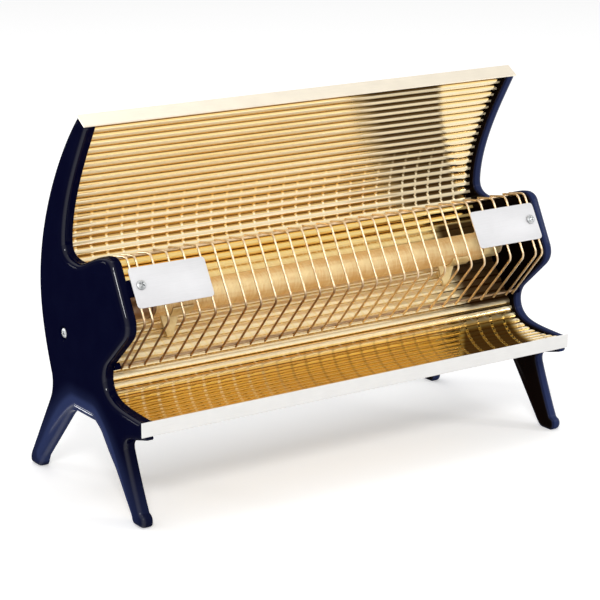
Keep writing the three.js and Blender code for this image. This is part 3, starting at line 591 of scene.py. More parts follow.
class Recipe:
    """The node tree of a material or a world while it is being written."""

    def __init__(self, owner: bpy.types.Material | bpy.types.World) -> None:
        """Starts with an empty tree."""
        self.owner = owner
        owner.use_nodes = True
        owner.node_tree.nodes.clear()

    @classmethod
    def material(cls, name: str) -> Recipe:
        """The recipe of a new material."""
        return cls(bpy.data.materials.new(name))

    def node(
        self,
        kind: str,
        settings: Mapping[str, Any] | None = None,
        inputs: Mapping[int | str, Any] | None = None,
        output: int | str = 0,
    ) -> Signal:
        """Adds a node.

        Args:
            kind: the node's type.
            settings: properties of the node, set first; "stops" are a ramp's (place, colour).
            inputs: values or signals of its sockets, by number or name.
            output: the socket given back.

        Returns:
            The chosen output.
        """
        made = self.owner.node_tree.nodes.new(kind)
        for name, value in (settings or {}).items():
            if name == "stops":
                self._set_stops(made.color_ramp, value)
            else:
                setattr(made, name, value)
        for key, value in (inputs or {}).items():
            if isinstance(value, Signal):
                self.owner.node_tree.links.new(value.socket, made.inputs[key])
            else:
                made.inputs[key].default_value = value
        return Signal(self, made.outputs[output])

    @staticmethod
    def _set_stops(ramp: bpy.types.ColorRamp, stops: Sequence[tuple[float, Colour]]) -> None:
        """Writes a ramp's stops.

        Args:
            ramp: the ramp, which starts with two stops.
            stops: places and colours.
        """
        while len(ramp.elements) < len(stops):
            ramp.elements.new(1.0)
        for element, (place, colour) in zip(ramp.elements, stops):
            element.position = place
            element.color = (*colour, 1.0)

    def place(self, stretch: Colour = (1, 1, 1)) -> Signal:
        """Object coordinates in millimetres, divided by a stretch along each axis."""
        scale = tuple(1 / (MM * amount) for amount in stretch)
        inputs = {"Vector": self.node("ShaderNodeTexCoord", output="Object"), "Scale": scale}
        return self.node("ShaderNodeMapping", None, inputs)

    def axis(self, number: int) -> Signal:
        """One of the object coordinates, in millimetres."""
        return self.node("ShaderNodeSeparateXYZ", None, {0: self.place()}, number)

    def noise(self, size: float, detail: float = 3.0, stretch: Colour = (1, 1, 1)) -> Signal:
        """Cloudy noise around 0.5, with features of about a size in millimetres."""
        inputs = {"Vector": self.place(stretch), "Scale": 1 / size, "Detail": detail}
        return self.node("ShaderNodeTexNoise", None, inputs, "Fac")

    def mark(self, name: str) -> Signal:
        """A value kept on the mesh's points."""
        return self.node("ShaderNodeAttribute", {"attribute_name": name}, output="Fac")

    def blend(self, factor: Signal | float, first: Any, second: Any, mode: str = "MIX") -> Signal:
        """A colour between two colours, or the first one changed by the second.

        Args:
            factor: 0 for the first colour, 1 for the full effect of the second.
            first: a colour or a signal.
            second: a colour or a signal.
            mode: how the second acts on the first.

        Returns:
            The mixed colour.
        """
        first, second = (it if isinstance(it, Signal) else (*it, 1.0) for it in (first, second))
        settings = {"data_type": "RGBA", "blend_type": mode, "clamp_factor": True}
        return self.node("ShaderNodeMix", settings, {0: factor, 6: first, 7: second}, 2)

    def bump(self, height: Signal, depth: float) -> Signal:
        """A normal that follows a height whose full swing is a depth in millimetres."""
        inputs = {"Height": height, "Distance": depth * MM, "Strength": 1.0}
        return self.node("ShaderNodeBump", None, inputs, "Normal")

    def looked_at(self) -> Signal:
        """1 for rays of the camera, of gloss and of glass, 0 for those that light other things."""
        kinds = ("Is Camera Ray", "Is Glossy Ray", "Is Transmission Ray")
        camera, gloss, glass = (self.node("ShaderNodeLightPath", output=kind) for kind in kinds)
        return camera.at_least(gloss).at_least(glass)

    def ended(self, shader: Signal, kind: str = "Material") -> Any:
        """Links a shader to the output of the tree.

        Args:
            shader: the last shader.
            kind: Material or World.

        Returns:
            The finished material or world.
        """
        tree = self.owner.node_tree
        end = tree.nodes.new(f"ShaderNodeOutput{kind}")
        tree.links.new(shader.socket, end.inputs["Surface"])
        return self.owner

    def surface(self, **sockets: Any) -> bpy.types.Material:
        """Ends the recipe with a Principled shader.

        Args:
            **sockets: its sockets, with underscores for the spaces of their names.

        Returns:
            The finished material.
        """
        inputs = {}
        for name, value in sockets.items():
            is_colour = isinstance(value, tuple) and len(value) == 3
            inputs[name.replace("_", " ")] = (*value, 1.0) if is_colour else value
        return self.ended(self.node("ShaderNodeBsdfPrincipled", None, inputs, "BSDF"))


# ---------------------------------------------------------------- finishes
@dataclass(frozen=True)
class Enamel:
    """Gloss enamel on a casting: deep colour, a faint orange peel, painted light on facets and edges and
    painted shade inside.
    """

    name: str = "navy_enamel"
    slot: str = "cheek_paint"
    deep: Colour = (0.0006, 0.0007, 0.011)
    # light: the colour of the painted light on facets and edges.
    light: Colour = (0.026, 0.037, 0.105)
    peel: float = 0.010
    gloss: float = 0.01
    # inside: painted shade, near-black, on the inner face.
    inside: Colour = (0.004, 0.002, 0.0015)

    def build(self) -> bpy.types.Material:
        """The material: painted light on facets and on the right-hand cheek's edges, painted shade on the
        inner face.
        """
        recipe = Recipe.material(self.name)
        # Painted highlight: edges grow lighter towards +x, on the right-hand cheek; the facet mark adds
        # painted light.
        side = recipe.axis(0).between(-150, 120)
        edge = recipe.mark("edge_nearness")
        tone = recipe.mark("facet") * 0.9 + recipe.noise(18) * 0.06 + edge * side * 0.8
        grain = recipe.noise(1.3, 2) * 0.7 + recipe.noise(7, 2) * 2.0
        outside = recipe.blend(tone, self.deep, self.light)
        return recipe.surface(
            # Painted shade: the inner face turns near-black.
            Base_Color=recipe.blend(recipe.mark("inside"), outside, self.inside),
            Roughness=0.15 + recipe.noise(3, 4) * 0.1,
            Specular_IOR_Level=0.0,
            Coat_Weight=self.gloss + recipe.mark("rounding") * 0.6 + edge * 0.04,
            Coat_Roughness=0.05,
            Normal=recipe.bump(grain, self.peel),
        )


@dataclass(frozen=True)
class GoldSheet:
    """Bright sheet drawn along its length: painted highlight on crests, amber flanks, painted shade in
    grooves.

    The sheet's painted reflections show the room and the guard in broken rows. Each zone of the section
    has a mark, and x and the mark "along" place a painted patch's slanting ends on the sheet.
    """

    name: str = "gold_sheet"
    slot: str = "reflector_sheet"
    # crest and groove are painted highlight and painted shade; deep, shadow and straw are painted shade
    # and painted light.
    crest: Colour = (0.97, 0.84, 0.58)
    flank: Colour = (0.87, 0.61, 0.245)
    groove: Colour = (0.24, 0.12, 0.03)
    deep: Colour = (0.90, 0.72, 0.26)
    shadow: Colour = (0.040, 0.015, 0.003)
    straw: Colour = (0.96, 0.76, 0.37)
    # pitch and lean place the painted reflections of the guard's wires.
    pitch: float = 14.0
    lean: float = 60.0

    def build(self) -> bpy.types.Material:
        """The material: painted highlights and shade by the relief first, then the painted reflections of
        the room, then the sheet's gloss.
        """
        recipe = Recipe.material(self.name)
        names = ("crest", "along", "dash", "behind", "depth", "upper")
        crest, along, dash, behind, depth, upper = (recipe.mark(name) for name in names)
        drawn = recipe.noise(1.1, 4, (26, 1, 1))
        cloud = recipe.noise(30, 3, (3, 1, 1))
        x = recipe.axis(0)

        # Painted reflections of the guard's wires in the sheet: upright in the dashes, slanting
        # elsewhere.
        across = x * (2 * math.pi / self.pitch)
        lean = along * self.lean
        gap = across.cosine().between(0.78, 0.96)
        dots = across.cosine().between(0.75, 0.97) * recipe.mark("dots")
        slant = (across + lean).cosine().between(0.7, 0.98)
        weave = (across * 2 - lean * 2).cosine().between(0.5, 0.95) * behind

        dashed = crest.between(0.78, 0.95).at_least(gap) * 0.5 + 0.5
        height = crest * (1 - dash) + dashed * dash + (drawn - 0.5) * 0.14 + (cloud - 0.5) * 0.16
        height = height + behind * (slant * 0.3 + 0.38) + weave * 0.3
        # The ramp paints highlights on the crests and shade in the grooves.
        stops = [(0.3, self.groove), (0.72, self.flank), (0.84, self.flank), (0.98, self.crest)]
        colour = recipe.node("ShaderNodeValToRGB", {"stops": stops}, {0: height}, "Color")

        # Painted dark reflection of the right-hand cheek, and painted shade: on the floor, in the step,
        # high up and behind the rod.
        beyond = (x + along * 111).between(278, 290)
        right = (x + along * 241).between(329, 341) * (1 - beyond)
        step = (1 - crest.between(0.35, 0.75)) * x.between(120, 136) * recipe.mark("step")
        high = (x - along * 196).between(20, 62) * (1 - (x - along * 142).between(126, 136)) * upper
        # High up, the crests keep a painted highlight and the grooves between get painted shade.
        top = crest.between(0.86, 0.97).at_least(gap * dash)
        hollow = high * (1 - crest.between(0.86, 0.97)) * (1 - gap * dash)
        painted_ridge_highlight = high * top
        under = x.between(144, 160) * behind.between(0.0, 0.5)
        shadow = right * depth * (1 - slant * crest * 0.9) + step + hollow * 0.95 + under

        # Painted shade: the floor and a band by the rod turn a deeper gold.
        amount = recipe.mark("deep") * (0.75 + cloud * 0.5) * (1 - beyond)
        colour = recipe.blend(amount, colour, self.deep, "MULTIPLY")
        # Painted reflections of the wires: slanting lines on the floor, pale to the left and dark further
        # right.
        lined = recipe.blend(x.between(-120, -30), self.crest, self.groove)
        colour = recipe.blend(slant * depth * (1 - right) * 0.4, colour, lined)
        # Painted light behind the rod: a straw colour and a woven painted reflection.
        colour = recipe.blend(behind * 0.35 + weave * 0.5, colour, self.straw)
        # Painted highlights: dots of the wires on the floor and the crests of the high patch.
        colour = recipe.blend(dots * 0.8, colour, self.crest)
        colour = recipe.blend(painted_ridge_highlight, colour, self.crest)
        # Less metal on crests and behind the rod, so their painted highlight stays pale whatever they
        # mirror.
        pale = (crest.between(0.92, 0.98) * (1 - depth) * 0.55).at_least(behind * 0.5)
        return recipe.surface(
            Base_Color=recipe.blend(shadow * 0.97, colour, self.shadow),
            Metallic=1 - pale.at_least(painted_ridge_highlight * 0.95).at_least(shadow.between(0.0, 1.0) * 0.96),
            Specular_IOR_Level=0.0,
            Roughness=0.06 + drawn * 0.08,
            Normal=recipe.bump(drawn, 0.004),
        )


@dataclass(frozen=True)
class BrightSheet:
    """Bare bright sheet with a fine grain along its length and faint handling marks."""

    name: str
    slot: str
    colour: Colour
    roughness: float = 0.3
    grain: float = 0.01
    stretch: Colour = (30, 1, 1)
    metallic: float = 1.0

    def build(self) -> bpy.types.Material:
        """The material: the grain and the clouds dull the colour and vary the gloss."""
        recipe = Recipe.material(self.name)
        grain = recipe.noise(0.5, 5, self.stretch)
        cloud = recipe.noise(14)
        tone = (grain * 0.6 + cloud * 0.5).between(0.3, 0.8)
        dull = tuple(channel * 0.92 for channel in self.colour)
        return recipe.surface(
            Base_Color=recipe.blend(tone, dull, self.colour),
            Metallic=self.metallic,
            Roughness=self.roughness + (cloud - 0.5) * 0.12 + (grain - 0.5) * 0.1,
            Normal=recipe.bump(grain, self.grain),
        )


@dataclass(frozen=True)
class Plating:
    """Plated wire or hardware: bright, with a little tarnish in clouds and darker brown stretches."""

    name: str
    slot: str
    colour: Colour
    tarnish: Colour
    roughness: float = 0.16
    burnt: Colour = (0.20, 0.10, 0.045)
    metallic: float = 1.0

    def build(self) -> bpy.types.Material:
        """The material: tarnish by clouds, and a darker brown where its mark says."""
        recipe = Recipe.material(self.name)
        cloud = recipe.noise(6, 4)
        plain = recipe.blend(cloud.between(0.35, 0.8), self.colour, self.tarnish)
        return recipe.surface(
            Base_Color=recipe.blend(recipe.mark("burnt") * (0.8 + cloud * 0.4), plain, self.burnt),
            Metallic=self.metallic,
            Roughness=self.roughness + cloud * 0.12,
            Normal=recipe.bump(recipe.noise(0.7), 0.01),
        )


@dataclass(frozen=True)
class Matt:
    """A dull body such as fireclay, rubber, porcelain or woven sleeve, speckled and uneven."""

    name: str
    slot: str
    colour: Colour
    shade: Colour
    roughness: float
    size: float = 1.2
    relief: float = 0.05

    def build(self) -> bpy.types.Material:
        """The material: speckles of a size, and clouds nine times as broad."""
        recipe = Recipe.material(self.name)
        speckle = recipe.noise(self.size, 5)
        tone = speckle * 0.6 + recipe.noise(self.size * 9) * 0.5
        return recipe.surface(
            Base_Color=recipe.blend(tone.between(0.35, 0.75), self.shade, self.colour),
            Roughness=self.roughness + (speckle - 0.5) * 0.2,
            Normal=recipe.bump(speckle, self.relief),
        )


@dataclass(frozen=True)
class HotWire:
    """Resistance wire after many firings: tan and gold patches run round the rod in rings."""

    name: str = "winding_wire"
    slot: str = "resistance_wire"
    pale: Colour = (0.95, 0.75, 0.40)
    tan: Colour = (0.77, 0.47, 0.17)

    def build(self) -> bpy.types.Material:
        """The material: rings, streaks along the rod and a painted highlight, a paler band below its top.
        """
        recipe = Recipe.material(self.name)
        rings = recipe.noise(1.5, 4, (1, 9, 9))
        streaks = recipe.noise(2.2, 3, (9, 1, 1))
        height = recipe.axis(2)
        # Painted highlight: a paler band along the rod below its top.
        painted_highlight_band = height.between(154, 163) - height.between(164, 169.5)
        tone = rings * 0.4 + recipe.noise(16) * 0.3 + streaks * 0.35 + painted_highlight_band * 0.2
        return recipe.surface(
            Base_Color=recipe.blend(tone.between(0.38, 0.8), self.tan, self.pale),
            Metallic=0.15,
            Roughness=0.46 + (rings - 0.5) * 0.2,
            Normal=recipe.bump(recipe.noise(0.6), 0.03),
        )


class Kit(Enum):
    """The finishes of this heater."""

    ENAMEL = Enamel()
    COVER = Enamel(
        "cover_enamel", "cover_paint", (0.002, 0.0026, 0.014), (0.008, 0.011, 0.045), 0.02, 0.12
    )
    GOLD = GoldSheet()
    STRIP = BrightSheet("strip_sheet", "reflector_sheet", (0.84, 0.76, 0.62), 0.4, metallic=0.5)
    TRIM = BrightSheet("trim_sheet", "reflector_sheet", (0.79, 0.78, 0.76), 0.45, metallic=0.4)
    PLATE = BrightSheet("plate_brushed", "plate_sheet", (0.73, 0.725, 0.735), 0.55, 0.02, metallic=0.35)
    GUARD = Plating("guard_plating", "guard_wire", (0.81, 0.64, 0.43), (0.58, 0.42, 0.25), 0.32)
    STEEL = Plating("screw_plating", "screw_steel", (0.55, 0.56, 0.56), (0.22, 0.23, 0.24), 0.3)
    CAP = Plating("cap_plating", "screw_steel", (0.93, 0.73, 0.37), (0.74, 0.53, 0.22), 0.3, metallic=0.5)
    BRASS = Plating("terminal_brass", "terminal_brass", (0.83, 0.62, 0.26), (0.45, 0.30, 0.10), 0.25)
    FIRECLAY = Matt("fireclay", "core_ceramic", (0.72, 0.56, 0.38), (0.55, 0.38, 0.22), 0.85)
    PORCELAIN = Matt("porcelain", "block_porcelain", (0.86, 0.84, 0.78), (0.75, 0.72, 0.64), 0.25)
    RUBBER = Matt("inlet_rubber", "grommet_rubber", (0.03, 0.03, 0.032), (0.012, 0.012, 0.013), 0.7)
    SLEEVE = Matt("lead_sleeve", "lead_sleeve", (0.8, 0.77, 0.68), (0.6, 0.56, 0.46), 0.9, 0.6, 0.1)
    WIRE = HotWire()


class Workshop:
    """Turns shells into pieces of the object and dresses them."""

    def __init__(self) -> None:
        """Builds every finish once."""
        self.materials = {finish: finish.value.build() for finish in Kit}

    def piece(
        self, name: str, shell: Shell, finish: Kit, *nodes: str, angle: float = 40.0
    ) -> bpy.types.Object:
        """Makes a piece that rides on the heater's body.

        Args:
            name: the object's name.
            shell: its shape.
            finish: its finish.
            *nodes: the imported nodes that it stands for.
            angle: edges sharper than this stay sharp, in degrees.

        Returns:
            The new object.
        """
        mesh = shell.mesh(name, angle)
        mesh.materials.append(self.materials[finish])
        made = bpy.data.objects.new(name, mesh)
        bpy.context.scene.collection.objects.link(made)
        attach(made, ROOT_BODY)
        if nodes:
            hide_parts(*nodes)
        log.info("%s: %d faces", name, len(mesh.polygons))
        return made

    def pair(self, name: str, shell: Shell, finish: Kit, *nodes: str, angle: float = 40.0) -> None:
        """Makes a right-hand piece and its mirror image; node names get the same endings.

        Args:
            name: the objects' name, without its ending.
            shell: the right-hand shape.
            finish: their finish.
            *nodes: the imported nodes, without their endings.
            angle: edges sharper than this stay sharp, in degrees.
        """
        for side, shape in (("right", shell), ("left", shell.mirrored())):
            sided = [f"{node}_{side}" for node in nodes]
            self.piece(f"{name}_{side}", shape, finish, *sided, angle=angle)

    def dress(self, node: bpy.types.Object, finish: Kit) -> None:
        """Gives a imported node, kept as it is, its finish."""
        node.data.materials.clear()
        node.data.materials.append(self.materials[finish])


# ---------------------------------------------------------------- the heater's section
@dataclass
class HeaterSection:
    """Lines in the (y, z) plane that several sub-assemblies share, in millimetres."""

    low: Array
    high: Array
    cheek_thickness: float = 10.4
    lip_sheet: float = 1.0
    lip_depth: float = 12.0
    lip_top: float = 87.5
    cap_width: float = 14.0
    sill: float = 65.5
    sole: float = 8.0
    inset: float = 6.0
    cover_inset: float = 4.0
    cover_top: float = 289.0
    cover_screws: tuple[float, float] = (118.0, 238.0)
    plate_start: float = 9.5
    plate_screw_x: float = 191.8
    plate_screw_drop: float = 14.6

    def __post_init__(self) -> None:
        """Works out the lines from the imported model's box."""
        self.outer = float(self.high[0])
        self.inner = self.outer - self.cheek_thickness
        self.sheet_end = self.inner - CLEARANCE
        self.front, self.back = float(self.low[1]), float(self.high[1])
        self.apex = point(-5.5, float(self.high[2]))
        self.cap_direction = unit(point(-0.839, -0.544))
        self.cap_normal = -left_of(self.cap_direction)
        self.brow = self.apex + self.cap_direction * self.cap_width
        self.shoulder, self.heel = point(67.7, 160), point(52.5, 88)
        self.upper_back = curve(self.shoulder, (67, 215), (30, 275), self.apex, steps=96)
        self.lower_back = curve(self.heel, (60, 108), (68, 133), self.shoulder)
        self.reflector = self._reflector_line()
        self.guard_top, self.guard_brow = point(-32, 202), point(-49.5, 205)
        self.guard_foot = point(-37.6, 115.7)
        self.slope_down = unit(point(-0.5, -0.866))
        self.slope_out = -left_of(self.slope_down)
        self.rod = point(-25, 157.7)

    @staticmethod
    def horn_from(brow: Array) -> Array:
        """The curve from a point at the brow down the horn's hollow side to its foot."""
        return curve(brow, (-4, 279), (25, 237), (25.8, 202))

    def _reflector_line(self) -> Array:
        """The middle of the ribbed sheet.

        Returns:
            The line from under the cap strip down to the front lip, its points evenly spaced.
        """
        behind = beside(self.horn_from(self.brow), self.inset)
        foot = point(-28, 104)
        end = (self.front + self.lip_sheet / 2, self.lip_top - 1)
        bowl = curve(behind[-1], (32.8, 170), (-8, 135), foot, steps=64)
        floor = curve(foot, (-36, 86), (-62, 82), end, steps=64)
        return evenly(joined(behind, bowl, floor), 2400)

    def cheek_outline(self, spacing: float = 1.1) -> Array:
        """A cheek's closed outline, anticlockwise seen from +X, with its seats for the two lips.

        Args:
            spacing: the length between its points.

        Returns:
            The outline.
        """
        drop = self.cap_normal * (self.lip_sheet + CLEARANCE)
        tip = self.front + self.lip_sheet + CLEARANCE
        ledge = self.lip_top - self.lip_depth - CLEARANCE
        nose = [
            ((25.8, 202), (25.8, 194), (19, 190.2), (5.2, 190.2)),
            ((5.2, 190.2), (-8, 190.5), (-24, 203.5), (-42, 204.5)),
            ((-42, 204.5), (-50.5, 204.5), (-53.5, 197)),
            ((-70.5, 164), (-76.5, 152.5), (-67, 143.6)),
            ((-40.5, 119.5), (-33.5, 113), (-33, 103), (-38, 97)),
            ((-38, 97), (-45, 89.5), (-55, 88), (tip, 86.9)),
        ]
        legs = [
            ((-78, 68.5), (-69, 66.5), (-64.5, 63), (-66.2, 57)),
            ((-66.2, 57), (-74.5, 35), (-86.3, 11)),
            ((-86.3, 11), (-92.8, 10.5), (-93, 0), (-86, 0)),
            ((self.sole - 86, 0), (-74, 0), (-71.8, 2), (-69, 5.7)),
            ((-30, 57.7), (-24.1, self.sill), (-15, self.sill)),
            ((14, self.sill), (23.8, self.sill), (31, 57.7)),
            ((74, 11.3), (77.5, 7.5), (78, 0), (82, 0)),
            ((82 + self.sole, 0), (self.back + 1.67, 0), (self.back + 1.32, 7.5), (91, 14.5)),
            ((57.5, 66.5), (50.5, 77), self.heel),
        ]
        outline = joined(
            self.apex - drop,
            self.horn_from(self.brow - drop),
            *(curve(*spots) for spots in nose),
            np.array([[tip, ledge], [self.front, ledge], [self.front, 73.0], [-78, 68.5]]),
            *(curve(*spots) for spots in legs),
            self.lower_back,
            self.upper_back[:-2],
        )
        return evenly(outline, int(lengths_along(outline)[-1] / spacing), closed=True)

    def on_reflector(self, near: Array) -> tuple[Array, Array]:
        """The reflector's point nearest to a given one, and its direction towards the rod."""
        index = int(np.linalg.norm(self.reflector - near, axis=1).argmin())
        return self.reflector[index], -left_of(directions(self.reflector))[index]

    def on_plate(self, drop: float, height: float) -> Array:
        """A point of the plates' slope, by its drop from their upper edge and its height."""
        down = self.slope_down * (self.plate_start + drop)
        return self.guard_brow + down + self.slope_out * height

    def cover_line(self) -> Array:
        """The middle of the back cover.

        Returns:
            The line from its upper edge down the back and forward under the bowl.
        """
        fold, floor, front = 98, 92, -22
        backs = (self.upper_back, self.lower_back)
        down = joined(*(beside(back, self.cover_inset)[::-1] for back in backs))
        down = down[(down[:, 1] < self.cover_top) & (down[:, 1] > fold)]
        corners = [down[-1], point(down[-1][0] - 4, floor), point(front, floor)]
        return joined(down[:-1], softened(corners, 4))

    def on_cover(self, z: float) -> tuple[Array, Array]:
        """A place on the cover's steep part.

        Args:
            z: its height.

        Returns:
            The point and its direction away from the heater.
        """
        line = self.cover_line()
        steep = line[: int(np.argmin(line[:, 1] > 99))]
        index = int(np.abs(steep[:, 1] - z).argmin())
        return steep[index], left_of(directions(steep))[index]


# ---------------------------------------------------------------- sub-assemblies
@dataclass
class Cheek:
    """A cast cheek: rounded edge, a crease above the legs, ridged legs and a dimple for the screw."""

    section: HeaterSection
    rounding: float = 4.6
    inner_rounding: float = 1.0
    facet_width: float = 17.5
    facet_foot_width: float = 9.5
    facet_depth: float = 2.6
    bead_inset: float = 6.0
    bead_height: float = 1.1
    bead_foot: tuple[float, float] = (30.0, 50.0)
    grid: float = 1.25
    rows: tuple[float, ...] = (0.25, 0.7, 1.35, 2.2, 3.2, 4.4, 5.3, 6.0, 6.7, 7.6)
    screw: Array = field(default_factory=lambda: point(28.3, 128.3))
    dimple_radius: float = 5.2
    dimple_depth: float = 3.0
    ear_radius: float = 2.7
    lug_size: float = 13.0

    def build(self, shop: Workshop) -> None:
        """Makes both cheeks and the fittings on their inner faces."""
        shop.pair("cheek_casting", self._casting(), Kit.ENAMEL, "cheek", angle=50)
        shop.pair("guard_ear", self._ear(), Kit.ENAMEL)
        shop.pair("plate_lug", self._plate_lug(), Kit.ENAMEL)
        for row, z in enumerate(self.section.cover_screws, 1):
            shop.pair(f"cover_lug_{row}", self._cover_lug(z), Kit.ENAMEL)
        seat = self.section.outer - self.dimple_depth + CLEARANCE
        shape = laid(crosshead(4.2, 2.4, 2.0, 18), X_AXIS, in_space(seat, self.screw))
        shop.pair("cheek_screw_dressed", shape, Kit.STEEL, "cheek_screw")

    def _points(self, outline: Array) -> Array:
        """Points inside the outline: rows that follow the edge, rings round the dimple, a grid.

        Args:
            outline: the cheek's edge.

        Returns:
            The points, closest where the face is rounded or creased.
        """
        normal = left_of(np.roll(outline, -1, axis=0) - np.roll(outline, 1, axis=0))
        rows = np.concatenate([outline + normal * row for row in self.rows])
        missed = distance_to_loop(rows, outline) - np.repeat(self.rows, len(outline))
        rows = rows[(np.abs(missed) < 0.04) & inside_loop(rows, outline)]

        radii = np.arange(0.6, 8.6, 0.5)[:, None, None]
        rings = (radii * on_circle(around(40))).reshape(-1, 2) + self.screw

        low, high = outline.min(axis=0), outline.max(axis=0)
        lattice = lattice_of(*(np.arange(*ends, self.grid) for ends in zip(low, high)))
        lattice = lattice[np.linalg.norm(lattice - self.screw, axis=1) > 9]
        lattice = lattice[inside_loop(lattice, outline)]
        lattice = lattice[distance_to_loop(lattice, outline) > self.rows[-1] + 0.6 * self.grid]

        line, width = self._crotch()
        crease = evenly(beside(line, width), 220)
        crease = crease[inside_loop(crease, outline)]
        crease = crease[distance_to_loop(crease, outline) > self.rows[-1] + 0.3]
        away = np.linalg.norm(lattice[:, None] - crease, axis=2).min(axis=1)

        shifts = self.bead_inset + np.arange(-1.6, 1.7, 0.4)
        bead = np.concatenate([evenly(beside(line, shift), 340) for shift in shifts])
        bead = bead[(bead[:, 1] > self.bead_foot[0]) & inside_loop(bead, outline)]
        plain = np.concatenate([rows, lattice[away > 0.7]])
        near_bead = np.abs(self._facet(plain)[1] - self.bead_inset) < 1.9
        near_bead &= plain[:, 1] > self.bead_foot[0]
        return np.concatenate([plain[~near_bead], rings, crease, bead])

    def _crotch(self) -> tuple[Array, Array]:
        """The cheek's lower edge between the feet.

        Returns:
            Its line from the front foot over the sill to the rear foot, and the facet's width at
            each of its points, which narrows towards the feet.
        """
        sill = self.section.sill
        front = curve((-69, 5.7), (-30, 57.7), (-15, sill))
        line = evenly(joined(front, curve((14, sill), (31, 57.7), (74, 11.3))), 300)
        narrow = self.facet_width - self.facet_foot_width
        return line, self.facet_foot_width + narrow * smoothstep(5, 60, line[:, 1])

    def _facet(self, spots: Array) -> tuple[Array, Array]:
        """Where spots lie in the facet along the lower edge.

        Args:
            spots: points of the face.

        Returns:
            How deep each lies in the facet, 0 at the crease and 1 at the edge, and its distance
            from that edge.
        """
        line, width = self._crotch()
        away = np.linalg.norm(spots[:, None] - line, axis=2)
        nearest = away.argmin(axis=1)
        distance = away[np.arange(len(spots)), nearest]
        return np.clip(1 - distance / width[nearest], 0, 1), distance

    def _bead(self, spots: Array, from_sill: Array, width: float) -> Array:
        """How much of the bead lies at each spot.

        Args:
            spots: points of the face.
            from_sill: their distances from the lower edge.
            width: how broad the bead is.

        Returns:
            1 on its top, 0 off it and near the floor.
        """
        return bell(from_sill, self.bead_inset, width) * smoothstep(*self.bead_foot, spots[:, 1])

    def _relief(self, spots: Array, distance: Array) -> Array:
        """How far the outer face lies below its flat plane.

        A quarter circle rounds the edge; below the crease a flat facet falls away towards the
        lower edge and carries a fine bead; the dimple round the screw is a smooth cup.

        Args:
            spots: points of the face.
            distance: their distances from the outline.

        Returns:
            One depth for each spot.
        """
        share, from_sill = self._facet(spots)
        fall = edge_drop(distance, self.rounding) + self.facet_depth * share
        bead = self.bead_height * self._bead(spots, from_sill, 0.9)
        away = np.linalg.norm((spots - self.screw) * np.array([1.0, 0.9]), axis=1)
        cup = 1 - smoothstep(self.dimple_radius - 1.6, self.dimple_radius + 0.8, away)
        return np.maximum(fall - bead, 0) + self.dimple_depth * cup

    def _casting(self) -> Shell:
        """The whole right-hand casting: outer face, side and inner face.

        Returns:
            The closed shell, marked with its facet and its edges, which the finish paints lighter, and
            its inner side, which it paints as shade.
        """
        outline = self.section.cheek_outline()
        count = len(outline)
        flat, triangles, sources = triangulated([outline], self._points(outline), True)
        loop = np.zeros(count, int)
        for new, olds in enumerate(sources):
            for old in olds:
                if old < count:
                    loop[old] = new
        distance = distance_to_loop(flat, outline)
        outer = in_space(self.section.outer - self._relief(flat, distance), flat)
        inner = in_space(self.section.inner + edge_drop(distance, self.inner_rounding), flat)
        middle = [outer[loop] * (1 - share) + inner[loop] * share for share in (0.33, 0.67)]

        nearness = 1 - smoothstep(0.2, 6, distance)
        share, from_sill = self._facet(flat)
        # bevel: painted light, lighter on the facet and towards the lower edge.
        bevel = smoothstep(0, 0.3, share) * 0.55 + 0.45 * (1 - smoothstep(10, 28, from_sill))
        rounded = smoothstep(0, 0.4, distance) * (1 - smoothstep(0.9, 2.2, distance))
        rounded = np.maximum(rounded, self._bead(flat, from_sill, 1.2))
        none, side = np.zeros(2 * count), np.tile(bevel[loop], 2)
        # facet and edge_nearness place painted light, inside places painted shade; rounding only adds
        # gloss.
        marks = {
            "edge_nearness": np.concatenate([nearness, nearness * 0.3, none + 1]),
            "facet": np.concatenate([bevel, bevel, side]),
            "rounding": np.concatenate([rounded, rounded * 0.3, none]),
            "inside": np.concatenate([np.zeros(len(flat)), smoothstep(0.3, 1.5, distance), none]),
        }

        total = len(flat)
        between = 2 * total + np.arange(2 * count).reshape(2, count)
        rows = [loop, *between, loop + total]
        faces = triangles.tolist() + (triangles[:, ::-1] + total).tolist()
        for upper, lower in zip(rows, rows[1:]):
            quads = [upper, lower, np.roll(lower, -1), np.roll(upper, -1)]
            faces += np.stack(quads, axis=1).tolist()
        return Shell(np.concatenate([outer, inner, *middle]), faces, marks)

    def _ear(self) -> Shell:
        """The round ear that takes the end of the guard's lower cross rod."""
        start, end = self.section.inner - 3.2, self.section.inner + 1.5
        bore, rim = self.ear_radius - 1, self.ear_radius
        ear = ringed([(start, bore), (start, rim), (end, rim), (end, bore)], 40)
        return laid(ear, X_AXIS, in_space(0, self.section.guard_foot))

    def _plate_lug(self) -> Shell:
        """The lug behind the guard that takes the plate's screw."""
        data = self.section
        low = data.plate_screw_x - self.lug_size / 2
        middle = data.on_plate(data.plate_screw_drop, -1.3 - 3.0)
        return self._lug(low, middle, data.slope_down, data.slope_out, 6.0)

    def _cover_lug(self, z: float) -> Shell:
        """A lug on the inner face, at a height, that takes a screw of the back cover."""
        spot, out = self.section.on_cover(z)
        middle = spot - out * (0.5 + CLEARANCE + 4.0)
        return self._lug(self.section.inner - 12.0, middle, left_of(out), out, 8.0)

    def _lug(self, low: float, middle: Array, along: Array, out: Array, depth: float) -> Shell:
        """A block that grows out of the inner face.

        Args:
            low: x of its free end.
            middle: of its section.
            along: direction of its side of the common size.
            out: direction of its depth.
            depth: its size along out.

        Returns:
            The block.
        """
        high = self.section.inner + 1
        axes = np.array([X_AXIS, space_direction(along), space_direction(out)])
        size = np.array([high - low, self.lug_size, depth])
        return block(in_space((low + high) / 2, middle), axes, size)


